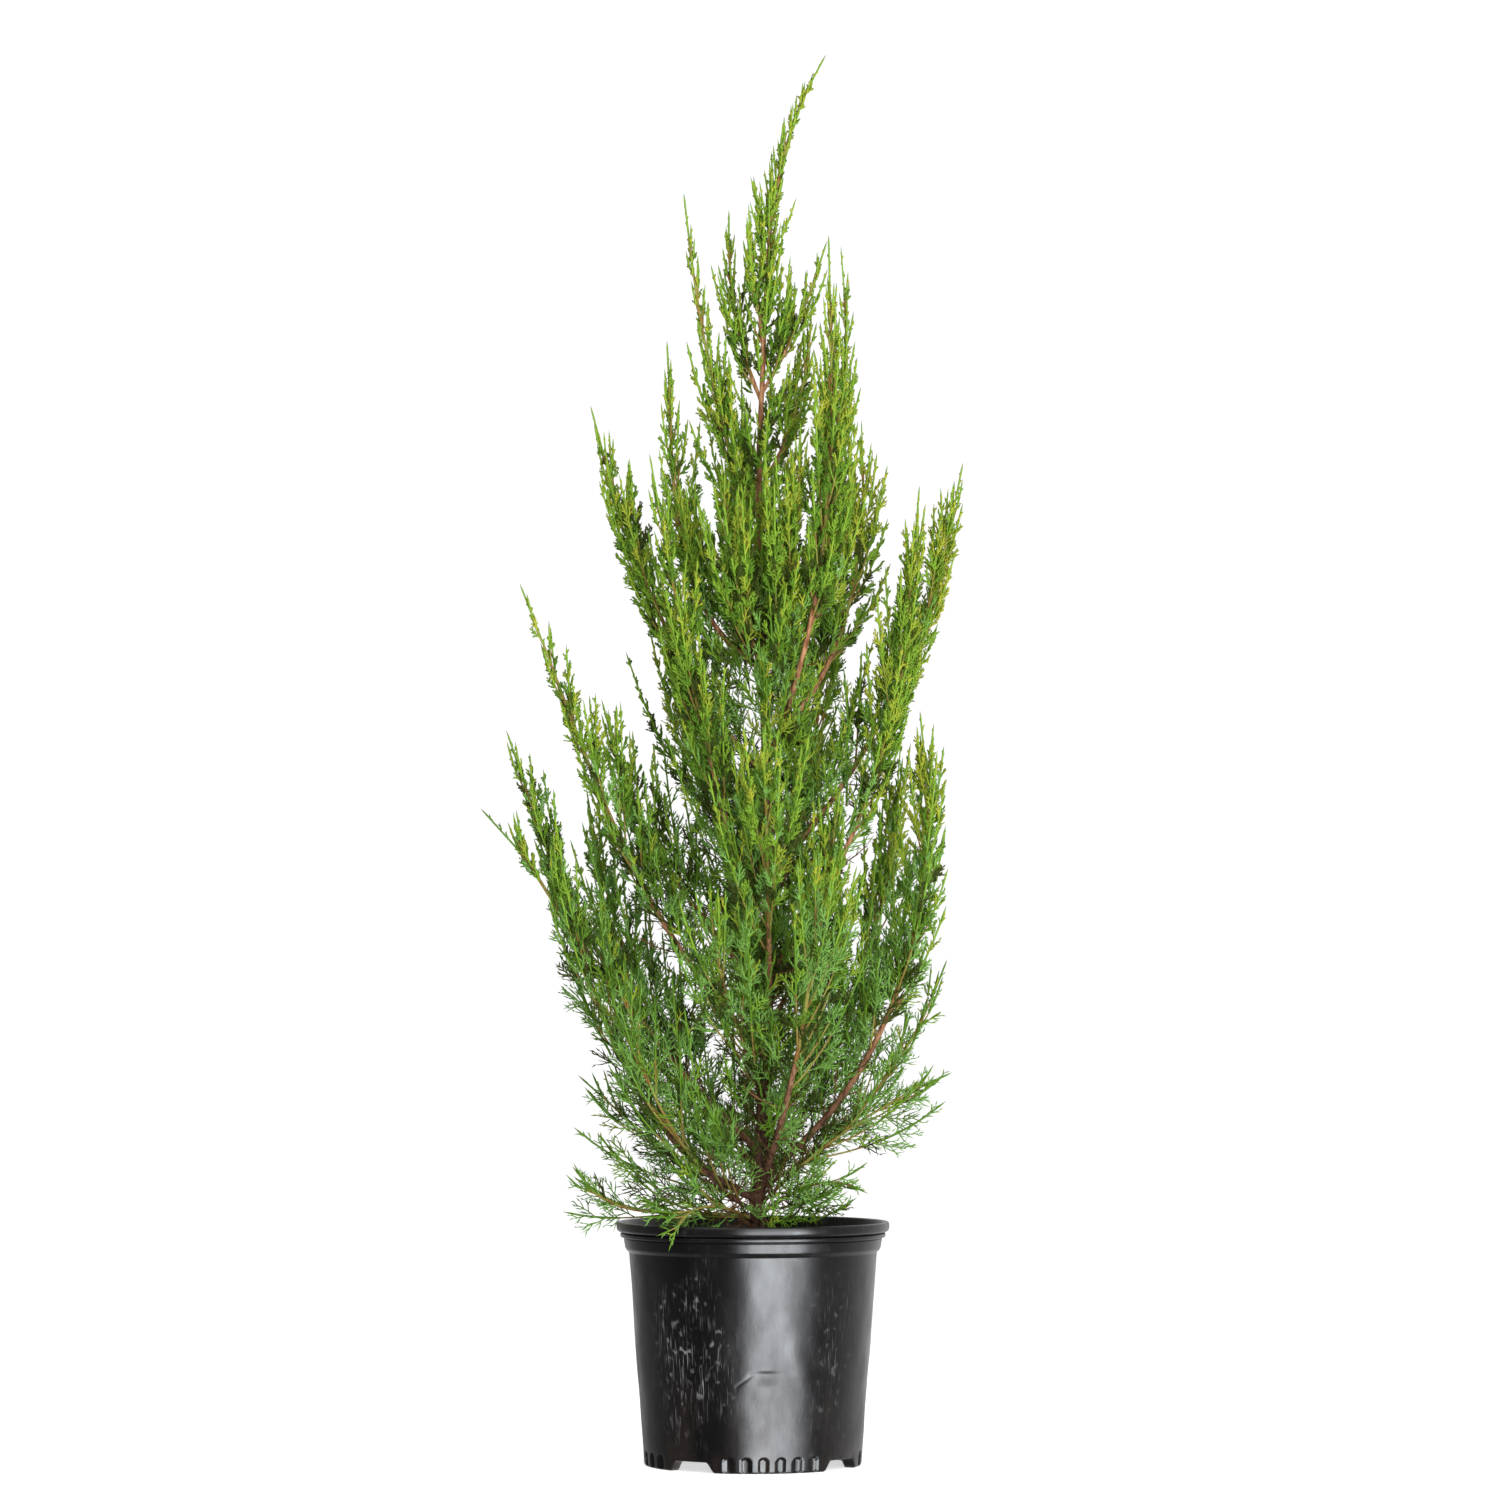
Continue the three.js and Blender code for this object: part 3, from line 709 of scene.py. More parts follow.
def add_mesh(name, points, faces, material):
    """A smooth mesh object from points in millimetres and triangles."""
    mesh = bpy.data.meshes.new(name)
    mesh.vertices.add(len(points))
    mesh.vertices.foreach_set("co", (points * MM).astype(np.float32).ravel())
    mesh.loops.add(faces.size)
    mesh.loops.foreach_set("vertex_index", faces.astype(np.int32).ravel())
    mesh.polygons.add(len(faces))
    mesh.polygons.foreach_set("loop_start", np.arange(0, faces.size, 3, dtype=np.int32))
    mesh.polygons.foreach_set("use_smooth", np.ones(len(faces), dtype=bool))
    mesh.update(calc_edges=True)
    mesh.materials.append(material)
    piece = bpy.data.objects.new(name, mesh)
    bpy.context.scene.collection.objects.link(piece)
    return piece


def add_piece(name, points, faces, material, slot, nodes=()):
    """A piece of the object that rides on its body and stands in for the given solids."""
    piece = add_mesh(name, points, faces, material)
    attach(piece, "root")
    if nodes:
        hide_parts(*nodes)


def lathe(profile, segments):
    """Points in rings and triangles of a closed turned form; the profile runs from pole to pole."""
    angle = np.arange(segments) * 2 * math.pi / segments
    rings = np.array(profile[1:-1], float)
    across = (rings[:, :1] * np.cos(angle), rings[:, :1] * np.sin(angle))
    points = np.stack([*across, np.repeat(rings[:, 1:], segments, axis=1)], axis=2).reshape(-1, 3)
    here = np.arange(segments)
    there = (here + 1) % segments
    faces = []
    for row in range(len(rings) - 1):
        low, high = row * segments, (row + 1) * segments
        faces.append(np.stack([low + here, low + there, high + there], axis=1))
        faces.append(np.stack([low + here, high + there, high + here], axis=1))
    start, end = len(points), len(points) + 1
    top = (len(rings) - 1) * segments
    faces.append(np.stack([there, here, np.full(segments, start)], axis=1))
    faces.append(np.stack([top + here, top + there, np.full(segments, end)], axis=1))
    poles = np.array([[0, 0, profile[0][1]], [0, 0, profile[-1][1]]], float)
    return np.concatenate([points, poles]), np.concatenate(faces)


def rounded(corners, steps=5):
    """Profile with its corners rounded; each corner is radius, height and rounding."""
    profile = []
    for index, (radius, height, rounding) in enumerate(corners):
        here = np.array([radius, height], float)
        if rounding == 0:
            profile.append(here)
            continue
        before = np.array(corners[index - 1][:2], float) - here
        after = np.array(corners[index + 1][:2], float) - here
        start = here + before * min(0.48, rounding / np.linalg.norm(before))
        end = here + after * min(0.48, rounding / np.linalg.norm(after))
        profile.extend(quadratic(start[None], here[None], end[None], steps)[0])
    return profile


def refined(profile, longest):
    """Profile with extra points; the longest step allowed is asked for each stretch."""
    points = [profile[0]]
    for here, there in zip(profile[:-1], profile[1:]):
        steps = max(1, math.ceil(np.linalg.norm(there - here) / longest(here, there)))
        points.extend(blend(here, there, (step + 1) / steps) for step in range(steps))
    return points


# Materials


def rgba(colour):
    """An opaque colour."""
    return (*colour, 1)


def connect(tree, socket, value):
    """Links an input to a socket, or sets it to a plain value."""
    if isinstance(value, bpy.types.NodeSocket):
        tree.links.new(value, socket)
    else:
        socket.default_value = value


def feed(tree, node, **inputs):
    """Links or sets the named inputs of a node."""
    for label, value in inputs.items():
        connect(tree, node.inputs[label.replace("_", " ")], value)


def add_node(tree, kind, operation=None, **inputs):
    """Node with its operation, if it has one, and its named inputs linked or set."""
    node = tree.nodes.new(kind)
    if operation:
        node.operation = operation
    feed(tree, node, **inputs)
    return node


def map_range(tree, value, **ends):
    """A value mapped from one range to another and held within it."""
    return add_node(tree, "ShaderNodeMapRange", Value=value, **ends).outputs[0]


def add_math(tree, operation, first, second):
    """Result of a sum of two sockets, or of a socket and a number."""
    node = add_node(tree, "ShaderNodeMath", operation)
    connect(tree, node.inputs[0], first)
    connect(tree, node.inputs[1], second)
    return node.outputs[0]


def product(tree, first, *others):
    """Product of sockets and numbers."""
    for other in others:
        first = add_math(tree, "MULTIPLY", first, other)
    return first


def add_mix(tree, mask, below, above):
    """Two colours mixed by a mask."""
    node = tree.nodes.new("ShaderNodeMix")
    node.data_type = "RGBA"
    feed(tree, node, Factor=mask)
    connect(tree, node.inputs[6], below)
    connect(tree, node.inputs[7], above)
    return node.outputs[2]


def place_parts(tree, kind="Object"):
    """X, Y and Z of the place on an object, or of the direction in a world."""
    place = tree.nodes.new("ShaderNodeTexCoord").outputs[kind]
    return add_node(tree, "ShaderNodeSeparateXYZ", Vector=place).outputs


def band_mask(tree, source, start, rise, fall, end):
    """Mask that rises and falls again along one value."""
    up = map_range(tree, source, From_Min=start, From_Max=rise)
    down = map_range(tree, source, From_Min=end, From_Max=fall)
    return product(tree, up, down)


def streaks_group():
    """Noise that is drawn out along one axis, or along a tapering wall, as a mask and as two mixed
    colours."""
    known = bpy.data.node_groups.get("Streaks")
    if known:
        return known
    group = bpy.data.node_groups.new("Streaks", "ShaderNodeTree")
    for way, kind, labels in (
        ("INPUT", "NodeSocketColor", ("Dark", "Pale")),
        ("INPUT", "NodeSocketVector", ("Stretch",)),
        ("INPUT", "NodeSocketFloat", ("Scale", "Low", "High", "Detail", "Taper")),
        ("OUTPUT", "NodeSocketColor", ("Color",)),
        ("OUTPUT", "NodeSocketFloat", ("Mask",)),
    ):
        for label in labels:
            group.interface.new_socket(label, in_out=way, socket_type=kind)
    start = group.nodes.new("NodeGroupInput").outputs
    place = group.nodes.new("ShaderNodeTexCoord").outputs["Object"]
    height = add_node(group, "ShaderNodeSeparateXYZ", Vector=place).outputs["Z"]
    widening = add_math(group, "ADD", product(group, height, start["Taper"]), 1.0)
    narrowing = add_math(group, "DIVIDE", 1.0, widening)
    upright = add_node(group, "ShaderNodeVectorMath", "SCALE", Vector=place, Scale=narrowing)
    drawn = add_node(group, "ShaderNodeMapping", Vector=upright.outputs[0], Scale=start["Stretch"])
    texture = add_node(
        group,
        "ShaderNodeTexNoise",
        Vector=drawn.outputs[0],
        Scale=start["Scale"],
        Detail=start["Detail"],
        Roughness=0.6,
    )
    mask = map_range(group, texture.outputs["Fac"], From_Min=start["Low"], From_Max=start["High"])
    colour = add_mix(group, mask, start["Dark"], start["Pale"])
    add_node(group, "NodeGroupOutput", Color=colour, Mask=mask)
    return group


def add_streaks(tree, dark, pale, stretch, scale, low=0.35, high=0.65, detail=5.0, taper=0.0):
    """The outputs of the streaks group in a material, with its inputs set."""
    node = tree.nodes.new("ShaderNodeGroup")
    node.node_tree = streaks_group()
    feed(tree, node, Dark=rgba(dark), Pale=rgba(pale), Stretch=stretch, Scale=scale)
    feed(tree, node, Low=low, High=high, Detail=detail, Taper=taper)
    return node.outputs


def streak_mask(tree, *values):
    """The mask alone of streaks."""
    return add_streaks(tree, (0, 0, 0), (1, 1, 1), *values)["Mask"]


def new_material(name):
    """Material with its tree and its surface shader."""
    material = bpy.data.materials.new(name)
    material.use_nodes = True
    tree = material.node_tree
    return material, tree, tree.nodes["Principled BSDF"]


def add_bump(tree, surface, height, strength, distance):
    """Bump on a surface from a height socket."""
    bump = add_node(tree, "ShaderNodeBump", Height=height, Strength=strength, Distance=distance)
    feed(tree, surface, Normal=bump.outputs[0])


def bark_material(name, dark, pale, stretch, scale, bump):
    """Bark with streaks of two colours and a fine relief."""
    material, tree, surface = new_material(name)
    streaks = add_streaks(tree, dark, pale, stretch, scale)
    feed(tree, surface, Base_Color=streaks["Color"], Roughness=0.8, Specular_IOR_Level=0.3)
    add_bump(tree, surface, streaks["Mask"], 0.6, bump)
    return material


def reddening_bark(name, settings, stretch, scale, bump, heights):
    """Dark bark that takes on the orange of the limbs between two heights."""
    bark = bark_material(name, settings.trunk_dark, settings.trunk_pale, stretch, scale, bump)
    tree = bark.node_tree
    surface = tree.nodes["Principled BSDF"]
    below = surface.inputs["Base Color"].links[0].from_socket
    above = add_streaks(tree, settings.limb_dark, settings.limb_pale, (1, 1, 0.2), 300)["Color"]
    share = map_range(tree, place_parts(tree)["Z"], From_Min=heights[0], From_Max=heights[1])
    feed(tree, surface, Base_Color=add_mix(tree, share, below, above))
    return bark


def leaf_material(name, colour):
    """Leaf green in one plain colour."""
    material, tree, surface = new_material(name)
    feed(tree, surface, Base_Color=rgba(linear(*colour)), Roughness=0.6, Specular_IOR_Level=0.25)
    return material


def plastic_material(settings):
    """Black plastic with fine scratches down the wall, pale rubs and dust near the foot."""
    material, tree, surface = new_material("black_plastic_worn")
    scratches = streak_mask(tree, (1, 1, 0.05), 1100, 0.6, 0.76, 1.0, WALL_TAPER)
    rubs = streak_mask(tree, (1, 1, 0.8), 170, 0.68, 0.82, 0.0)
    patches = streak_mask(tree, (1, 1, 0.5), 22, 0.42, 0.62)
    dust = streak_mask(tree, (1, 1, 0.35), 34, 0.45, 0.9)
    place = place_parts(tree)
    left = band_mask(tree, place["X"], *WORN_LEFT)
    right = band_mask(tree, place["X"], *WORN_RIGHT)
    sides = add_math(tree, "ADD", left, product(tree, right, 0.3))
    front = map_range(tree, place["Y"], From_Max=-0.05, To_Min=0.15)
    worn = product(tree, sides, band_mask(tree, place["Z"], *WORN_HEIGHT), front)
    worn = product(tree, add_math(tree, "ADD", worn, 0.12), patches)
    low = map_range(tree, place["Z"], From_Min=0.13, From_Max=0.0, To_Max=0.3)
    scuff = rgba(settings.scuff)
    colour = add_mix(tree, product(tree, dust, low), rgba(settings.plastic), rgba(settings.dust))
    colour = add_mix(tree, product(tree, worn, scratches, 0.75), colour, scuff)
    colour = add_mix(tree, product(tree, worn, rubs, 0.5), colour, scuff)
    rough = map_range(tree, patches, To_Min=0.3, To_Max=0.44)
    feed(tree, surface, Base_Color=colour, Roughness=rough, Specular_IOR_Level=0.5)
    add_bump(tree, surface, patches, 0.2, 0.0006)
    return material


# The pot


def notch_height(degrees):
    """Height of the notch in the bottom edge at each angle."""
    turn = (degrees - FEET.first) % FEET.between
    away = np.abs(turn - FEET.between / 2)
    return NOTCH.height * (1 - ramp(away, NOTCH.flat, NOTCH.end))


def arch_depths(degrees, heights):
    """Share of an arch's depth at each point of the wall."""
    half = FEET.between / 2
    turn = (degrees - FEET.first + half) % FEET.between - half
    number = np.clip(np.round(turn / ARCH.step - 0.5), -3, 2)
    across = (turn - (number + 0.5) * ARCH.step) / 360 * 2 * math.pi * ARCH.radius
    above = np.maximum(heights - ARCH.top, 0)
    below = np.maximum(ARCH.low - heights, 0) * ARCH.low_squeeze
    away = np.sqrt(across**2 + above**2 + below**2)
    return 1 - ramp(away, *ARCH.edge)


def dent_depths(x, z):
    """Share of the dent's depth at each point of the front wall."""
    flat = np.exp(-(((x - DENT.middle) / DENT.width) ** 2))
    flat = flat * ramp(z, *DENT.rise) * (1 - ramp(z, *DENT.fall))
    right = x - CREASE.x
    up = z - CREASE.z
    along = (right * CREASE.right + up * CREASE.up) / (CREASE.right**2 + CREASE.up**2)
    along = np.clip(along, 0, 1)
    away = np.hypot(right - CREASE.right * along, up - CREASE.up * along)
    return flat + CREASE.depth * np.exp(-((away / CREASE.width) ** 2))


def pot_profile(settings):
    """Half section of the pot from the middle of its underside round to the middle of its floor."""
    rim = settings.rim_radius / MM
    top = settings.height / MM
    foot = settings.foot_radius / MM
    wall = (
        (0.0, 0, 0),
        (58, 0, 0),
        (96, 0, 0),
        (100, 0, 0),
        (foot, 0, 2.5),
        (127, 217, 0.8),
        (128.6, 218.2, 0.8),
        (130.8, 221, 1.2),
        (132.4, 230.5, 0.8),
        (131.6, 231.8, 0.4),
        (135.6, 232.2, 1.2),
        (136.2, 236, 1.2),
        (133.6, 237.2, 0.4),
        (rim - 1.4, 238.2, 2.2),
        (rim, 242, 2.6),
        (rim - 0.4, top, 2.6),
        (rim - 5, top, 2.2),
        (131.5, 239, 2),
        (124.5, 214, 2),
        (109, 17, 2),
        (0.0, 16, 0),
    )
    return refined(refined(rounded(wall), lambda here, there: PROFILE.coarse), fine_outside)


def fine_outside(here, there):
    """Longest step of the profile: short outside, where the arches, notches and dent are."""
    low, high = PROFILE.dent
    height = min(here[1], there[1])
    outside = there[1] >= here[1] and here[0] > PROFILE.outside
    detailed = height < PROFILE.feet or low < height < high
    return PROFILE.fine if outside and detailed else math.inf


class JUNIPER_OT_pot(bpy.types.Operator):
    """Builds the black pot with its lip, feet, notches, arches and dent"""

    bl_idname = "juniper.pot"
    bl_label = "Build the pot"

    def execute(self, context):
        settings = context.scene.juniper_pot
        points, faces = lathe(pot_profile(settings), settings.segments)
        x, y, z = points.T
        radius = np.hypot(x, y)
        degrees = np.degrees(np.arctan2(y, x))
        outside = radius > blend(WALL.low, WALL.high, z / WALL.height) - WALL.slack
        under = z < FEET.under
        notch = notch_height(degrees)
        lift = notch * (outside | under)
        lift = np.maximum(lift, NOTCH.height * (1 - ramp(radius, *FEET.inside)) * under)
        arches = arch_depths(degrees, z) * outside * (z < FEET.top) * (1 - notch / NOTCH.height)
        front = (y < 0) & (np.abs(x) < FRONT.reach) & (z > FRONT.low) & (z < FRONT.high)
        dent = np.where(front, dent_depths(x, z), 0)
        shift = self.waves(degrees, z) - arches * settings.arch_depth / MM
        shift = shift - dent * settings.dent_depth / MM
        scale = 1 + shift / np.maximum(radius, 1)
        raised = np.where(z < FEET.top, lift + z * (FEET.top - lift) / FEET.top, z)
        moved = np.stack([x * scale, y * scale, raised], axis=1)
        add_piece("pot_black", moved, faces, plastic_material(settings), "black_plastic", ("pot",))
        return {"FINISHED"}

    def waves(self, degrees, z):
        """Shallow waves of the wall."""
        wave = 0
        for count, rise, seed, depth in WAVES:
            step = 360 / count
            wave = wave + (noise(degrees / step + count, z / rise, seed, count) - 0.5) * depth
        return wave * ramp(z, *WAVE_RISE) * (1 - ramp(z, *WAVE_FALL))


class JUNIPER_OT_soil(bpy.types.Operator):
    """Builds the bark mix in the pot with loose chips on it"""

    bl_idname = "juniper.soil"
    bl_label = "Build the soil"

    def execute(self, context):
        settings = context.scene.juniper_pot
        dark, pale = settings.soil_dark, settings.soil_pale
        material = bark_material("bark_mix", dark, pale, (1, 1, 1), 160, 0.002)
        profile = [(radius, SOIL.floor) for radius in (0, 40, 80, 121.5)]
        profile.append((122, SOIL.floor + 6))
        steps = np.linspace(0, 124.2, 48)[1:]
        profile += [(radius, SOIL.top - self.dip(radius)) for radius in steps[::-1]]
        points, faces = lathe([*profile, (0, SOIL.top)], 160)
        x, y, z = points.T
        bumps = noise(x / 5 + 90, y / 5 + 90, 11) + 0.6 * noise(x / 2.2 + 90, y / 2.2 + 90, 12)
        bumps = (bumps - 0.8) * SOIL.bumps * (1 - ramp(np.hypot(x, y), 119, 124))
        ground = (np.stack([x, y, np.where(z > 200, z + bumps, z)], axis=1), faces)
        chips = self.chips(settings.chips)
        add_piece("soil_bark", *joined([ground, chips]), material, "bark_soil", ("soil",))
        return {"FINISHED"}

    def dip(self, away):
        """How far the soil lies below its middle."""
        return SOIL.dip * (away / SOIL.radius) ** 6

    def chips(self, count):
        """Loose spindles of bark that lie on the soil."""
        number = np.arange(count)
        draw = [chance(number, step, 31) for step in range(6)]
        away = 118 * np.sqrt(draw[0])
        middle = outward(360 * draw[1]) * away[:, None] + UP * (220.5 + 2.5 * draw[2])[:, None]
        middle[:, 2] -= self.dip(away)
        along = unit(outward(360 * draw[3]) + UP * (draw[4] - 0.5)[:, None] * 0.7)
        reach = np.minimum(blend(4.0, 11.0, draw[5] ** 2), 121 - away)[:, None]
        paths = quadratic(middle - along * reach, middle + UP * 0.8, middle + along * reach, 5)
        radii = blend(1.0, 2.6, draw[4])[:, None] * np.array([0.45, 1.0, 0.9, 0.7, 0.0])
        return tubes(paths, radii, 5, capped=True)


# Wood


def strips(angle, along, seed, count):
    """Height of shaggy strips of bark from 0 to 1, by turn (0 to 1) and distance along."""
    wander = noise(angle * 3, along / 60, seed, 3) * 0.22
    fibre = noise((angle + wander) * count, along / 26, seed + 1)
    fine = noise((angle + wander) * count * 2.3, along / 11, seed + 2)
    return np.abs(fibre * 2 - 1) ** 0.7 * 0.7 + fine * 0.3


def rough_tube(path, radius, sides, relief, seed):
    """Points and triangles of one stem with strips of bark in relief."""
    steps = np.linalg.norm(np.diff(path, axis=0), axis=1)
    along = np.concatenate([[0], np.cumsum(steps)])
    angle, along = np.meshgrid(np.arange(sides) / sides, along)
    height = strips(angle, along, seed, 9)
    radii = radius[:, None] + (height - 0.5) * 2 * np.minimum(relief, radius[:, None] * 0.28)
    return tubes(path[None], radii[None], sides, pointed=False, capped=True)


def trunk_radius(settings, height):
    """Radius of the trunk at a height, with its root flare."""
    share = np.clip((height - SOIL_TOP) / (TRUNK_TOP - SOIL_TOP), 0, 1)
    plain = blend(settings.base_radius, settings.tip_radius, share) / MM
    return plain + settings.flare / MM * np.exp(-np.maximum(height - SOIL_TOP, 0) / 16)


def side_path(root, direction, length, steps):
    """Path of a side stem that leaves wide and turns up toward its tip."""
    tip = root + direction * length
    middle = blend(root, tip, 0.45) - UP * 0.09 * length + direction * [0.16, 0.16, 0] * length
    return quadratic(root[None], middle[None], tip[None], steps)[0]


class JUNIPER_OT_wood(bpy.types.Operator):
    """Builds the trunk and the boughs with bark in relief, the young stems and the dry twigs"""

    bl_idname = "juniper.wood"
    bl_label = "Build the wood"

    def execute(self, context):
        settings = context.scene.juniper_wood
        limbs = make_limbs()
        self.trunk(settings)
        self.limbs(settings, limbs)
        self.dry_twigs(settings, limbs)
        return {"FINISHED"}

    def trunk(self, settings):
        """The trunk, from just below the soil to just above its tip."""
        heights = np.linspace(SOIL_TOP - 5, TRUNK_TOP + 4, 460)
        relief = settings.relief / MM * blend(1, 0.5, (heights - SOIL_TOP) / TRUNK_TOP)
        radius = trunk_radius(settings, heights)
        trunk = rough_tube(trunk_point(heights), radius, 32, relief[:, None], 40)
        bark = reddening_bark("bark_trunk", settings, (1, 1, 0.12), 260, 0.001, TRUNK_REDDENS)
        add_piece("trunk_bark", *trunk, bark, "bark", ("trunk",))

    def limbs(self, settings, limbs):
        """The limbs: barked below and young above, with their side stems."""
        old, young = [], []
        for limb in limbs:
            change = OLD_SHARE.bough if limb.bough else OLD_SHARE.stem
            if limb.skirt:
                change = OLD_SHARE.skirt
            shares = np.linspace(0, change, 70)
            radius = limb_radius(limb, shares) * 1.08
            old.append(rough_tube(limb_path(limb, shares), radius, 12, 0.45, 60 + limb.number))
            shares = np.linspace(change - 0.01, 0.9, 60)
            radius = limb_radius(limb, shares) * 1.02
            young.append(tubes(limb_path(limb, shares)[None], radius[None], 8, capped=True))
        for along, root, direction, length in side_stems(limbs):
            path = side_path(root, direction, length, 9)[:6]
            radii = np.linspace(1.15, 0.7, 6) * blend(1.15, 0.8, along)
            young.append(tubes(path[None], radii[None], 5, capped=True))
        barked = reddening_bark("bark_limb", settings, (1, 1, 0.2), 300, 0.0006, LIMB_REDDENS)
        dark, pale = settings.young_dark, settings.young_pale
        tender = bark_material("bark_young", dark, pale, (1, 1, 0.5), 60, 0.0002)
        nodes = [f"bough_{limb.name}" for limb in limbs if limb.bough]
        add_piece("limb_bark", *joined(old), barked, "bark", nodes)
        add_piece("young_stems", *joined(young), tender, "bark")

    def dry_twigs(self, settings, limbs):
        """Bare brown twigs on the lower trunk and on the inner stretches of the limbs."""
        draws = np.random.default_rng(DRY.seed)
        low = [limb for limb in limbs if limb.controls[0][2] < DRY.rooted_below]
        axes = [limb_path(limb, np.linspace(*DRY.limb, AXIS_POINTS)) for limb in low]
        axes = np.array([trunk_point(np.linspace(*DRY.trunk, AXIS_POINTS)), *axes])
        counts = np.full(len(axes), DRY.limb_count)
        counts[0] = DRY.trunk_count
        owner, order, share = sprout(counts, 0.0, 1.0, draws)
        turn = np.radians(order * GOLDEN_TURN + owner * STEM_TURN)
        opening = np.radians(blend(*DRY.open, draws.random(len(owner))))
        length = blend(*DRY.length, draws.random(len(owner)) ** 1.5)
        twigs = branch(axes, owner, share, turn, opening, length, 0.3, 5)
        keep = clear_of_pot(twigs).all(axis=1)
        twigs = twigs[keep]
        counts = np.maximum(1, np.round(length[keep] / DRY.end_spacing)).astype(int)
        owner, order, share = sprout(counts, *DRY.end_span, draws)
        turn = order * math.pi + 2 * draws.random(len(owner))
        opening = np.radians(blend(*DRY.end_open, draws.random(len(owner))))
        length = blend(*DRY.end_length, draws.random(len(owner)))
        ends = branch(twigs, owner, share, turn, opening, length, 0.1, 4)
        stout = np.tile([0.8, 0.75, 0.65, 0.5, 0], (len(twigs), 1))
        slender = np.tile([0.45, 0.5, 0.45, 0], (len(ends), 1))
        dry = joined([tubes(twigs, stout, 5), tubes(ends, slender, 3)])
        dark, pale = settings.dry_dark, settings.dry_pale
        bark = bark_material("bark_dry", dark, pale, (1, 1, 1), 90, 0.0002)
        add_piece("dry_twigs", *dry, bark, "bark")


# Foliage


def walk(paths, owner, share):
    """Point and direction at a share of each owner's path."""
    last = paths.shape[1] - 1
    place = share * last
    step = np.minimum(place.astype(int), last - 1)
    part = (place - step)[:, None]
    low = paths[owner, step]
    high = paths[owner, step + 1]
    return low + (high - low) * part, unit(high - low)


def sprout(counts, first, last, draws):
    """Owner, order and share of new twigs dealt out along paths."""
    owner = np.repeat(np.arange(len(counts)), counts)
    begun = np.concatenate([[0], np.cumsum(counts)[:-1]])
    order = np.arange(counts.sum()) - begun[owner]
    share = first + (last - first) * (order + draws.random(len(owner))) / counts[owner]
    return owner, order, share


def branch(paths, owner, share, turn, opening, length, lift, steps, under=0.0):
    """Paths of new twigs at a turn and opening from their owners, curving up toward their tips;
    those on the under side can be shorter."""
    point, tangent = walk(paths, owner, share)
    across = unit(np.cross(tangent, level_side(paths)[owner]))
    other = np.cross(tangent, across)
    radial = across * np.cos(turn)[:, None] + other * np.sin(turn)[:, None]
    straight = tangent * np.cos(opening)[:, None] + radial * np.sin(opening)[:, None]
    leave = unit(straight + radial * 0.22)
    end = unit(straight - radial * 0.2 + UP * np.asarray(lift)[..., None])
    half = (length / 2 * (1 - under * np.maximum(0, -radial[:, 2])))[:, None]
    middle = point + leave * half
    return quadratic(point, middle, middle + end * half, steps)


def clear_of_pot(points):
    """Which points are outside the pot's body and within the crown."""
    away = np.hypot(points[..., 0], points[..., 1])
    z = points[..., 2]
    clear = (away > RIM.outside) | (z > RIM.top) | ((away < RIM.inside) & (z > RIM.soil))
    return clear & (points > CROWN_LOW).all(axis=-1) & (points < CROWN_HIGH).all(axis=-1)


def inner_stems(limbs):
    """Upright leafy stems on the bare stretches of the limbs: share, root, direction and length."""
    found = []
    for limb in limbs:
        bare = max(limb.bough, INNER.bare)
        count = round(bare * limb.reach / INNER.spacing)
        for number in range(count):
            draws = chance(limb.number, number, np.arange(10, 14))
            share = blend(0.25, 1.5, (number + draws[0]) / count) * bare
            root = limb_path(limb, share)
            direction = unit(UP + outward(360 * draws[1]) * blend(0.15, 0.6, draws[2]))
            length = blend(*INNER.length, draws[3]) * blend(1, 0.6, ramp(root[2], *INNER.short_heights))
            for size in SPRAY_SIZES:
                tip = root + direction * length * size
                away = np.linalg.norm(limb.samples - tip, axis=1).min()
                if away < limb.width * limb.slender and clear_of_pot(tip):
                    found.append((INNER.along, root, direction, length * size))
                    break
    return found


def trunk_stems():
    """Leafy stems on the trunk itself, wide near the soil and upright above: share, root, direction
    and length."""
    found = []
    heights = np.concatenate([np.arange(*span) for span in TRUNK_SPANS]).astype(float)
    low, high = TRUNK_STEM.left_heights
    for number, height in enumerate(heights):
        draws = chance(900, number, np.arange(5))
        turn = number * GOLDEN_TURN + 40 * draws[0]
        if draws[3] < 0.5:
            turn = blend(*TRUNK_STEM.front, draws[0])
        elif draws[3] < 0.75 and low < height < high:
            turn = blend(*TRUNK_STEM.left, draws[0])
        wider = TRUNK_STEM.wide * (1 - ramp(height, *TRUNK_STEM.wide_heights))
        wider = wider + TRUNK_STEM.wider * (1 - ramp(height, *TRUNK_STEM.wider_heights))
        lean = blend(*TRUNK_STEM.lean, draws[1]) + wider * (draws[4] < 0.6)
        shorter = blend(1, TRUNK_STEM.short, ramp(height, *TRUNK_STEM.short_heights))
        length = blend(*TRUNK_STEM.length, draws[2]) * shorter
        found.append((TRUNK_STEM.along, trunk_point(height), unit(leaning(turn, lean)), length))
    return found


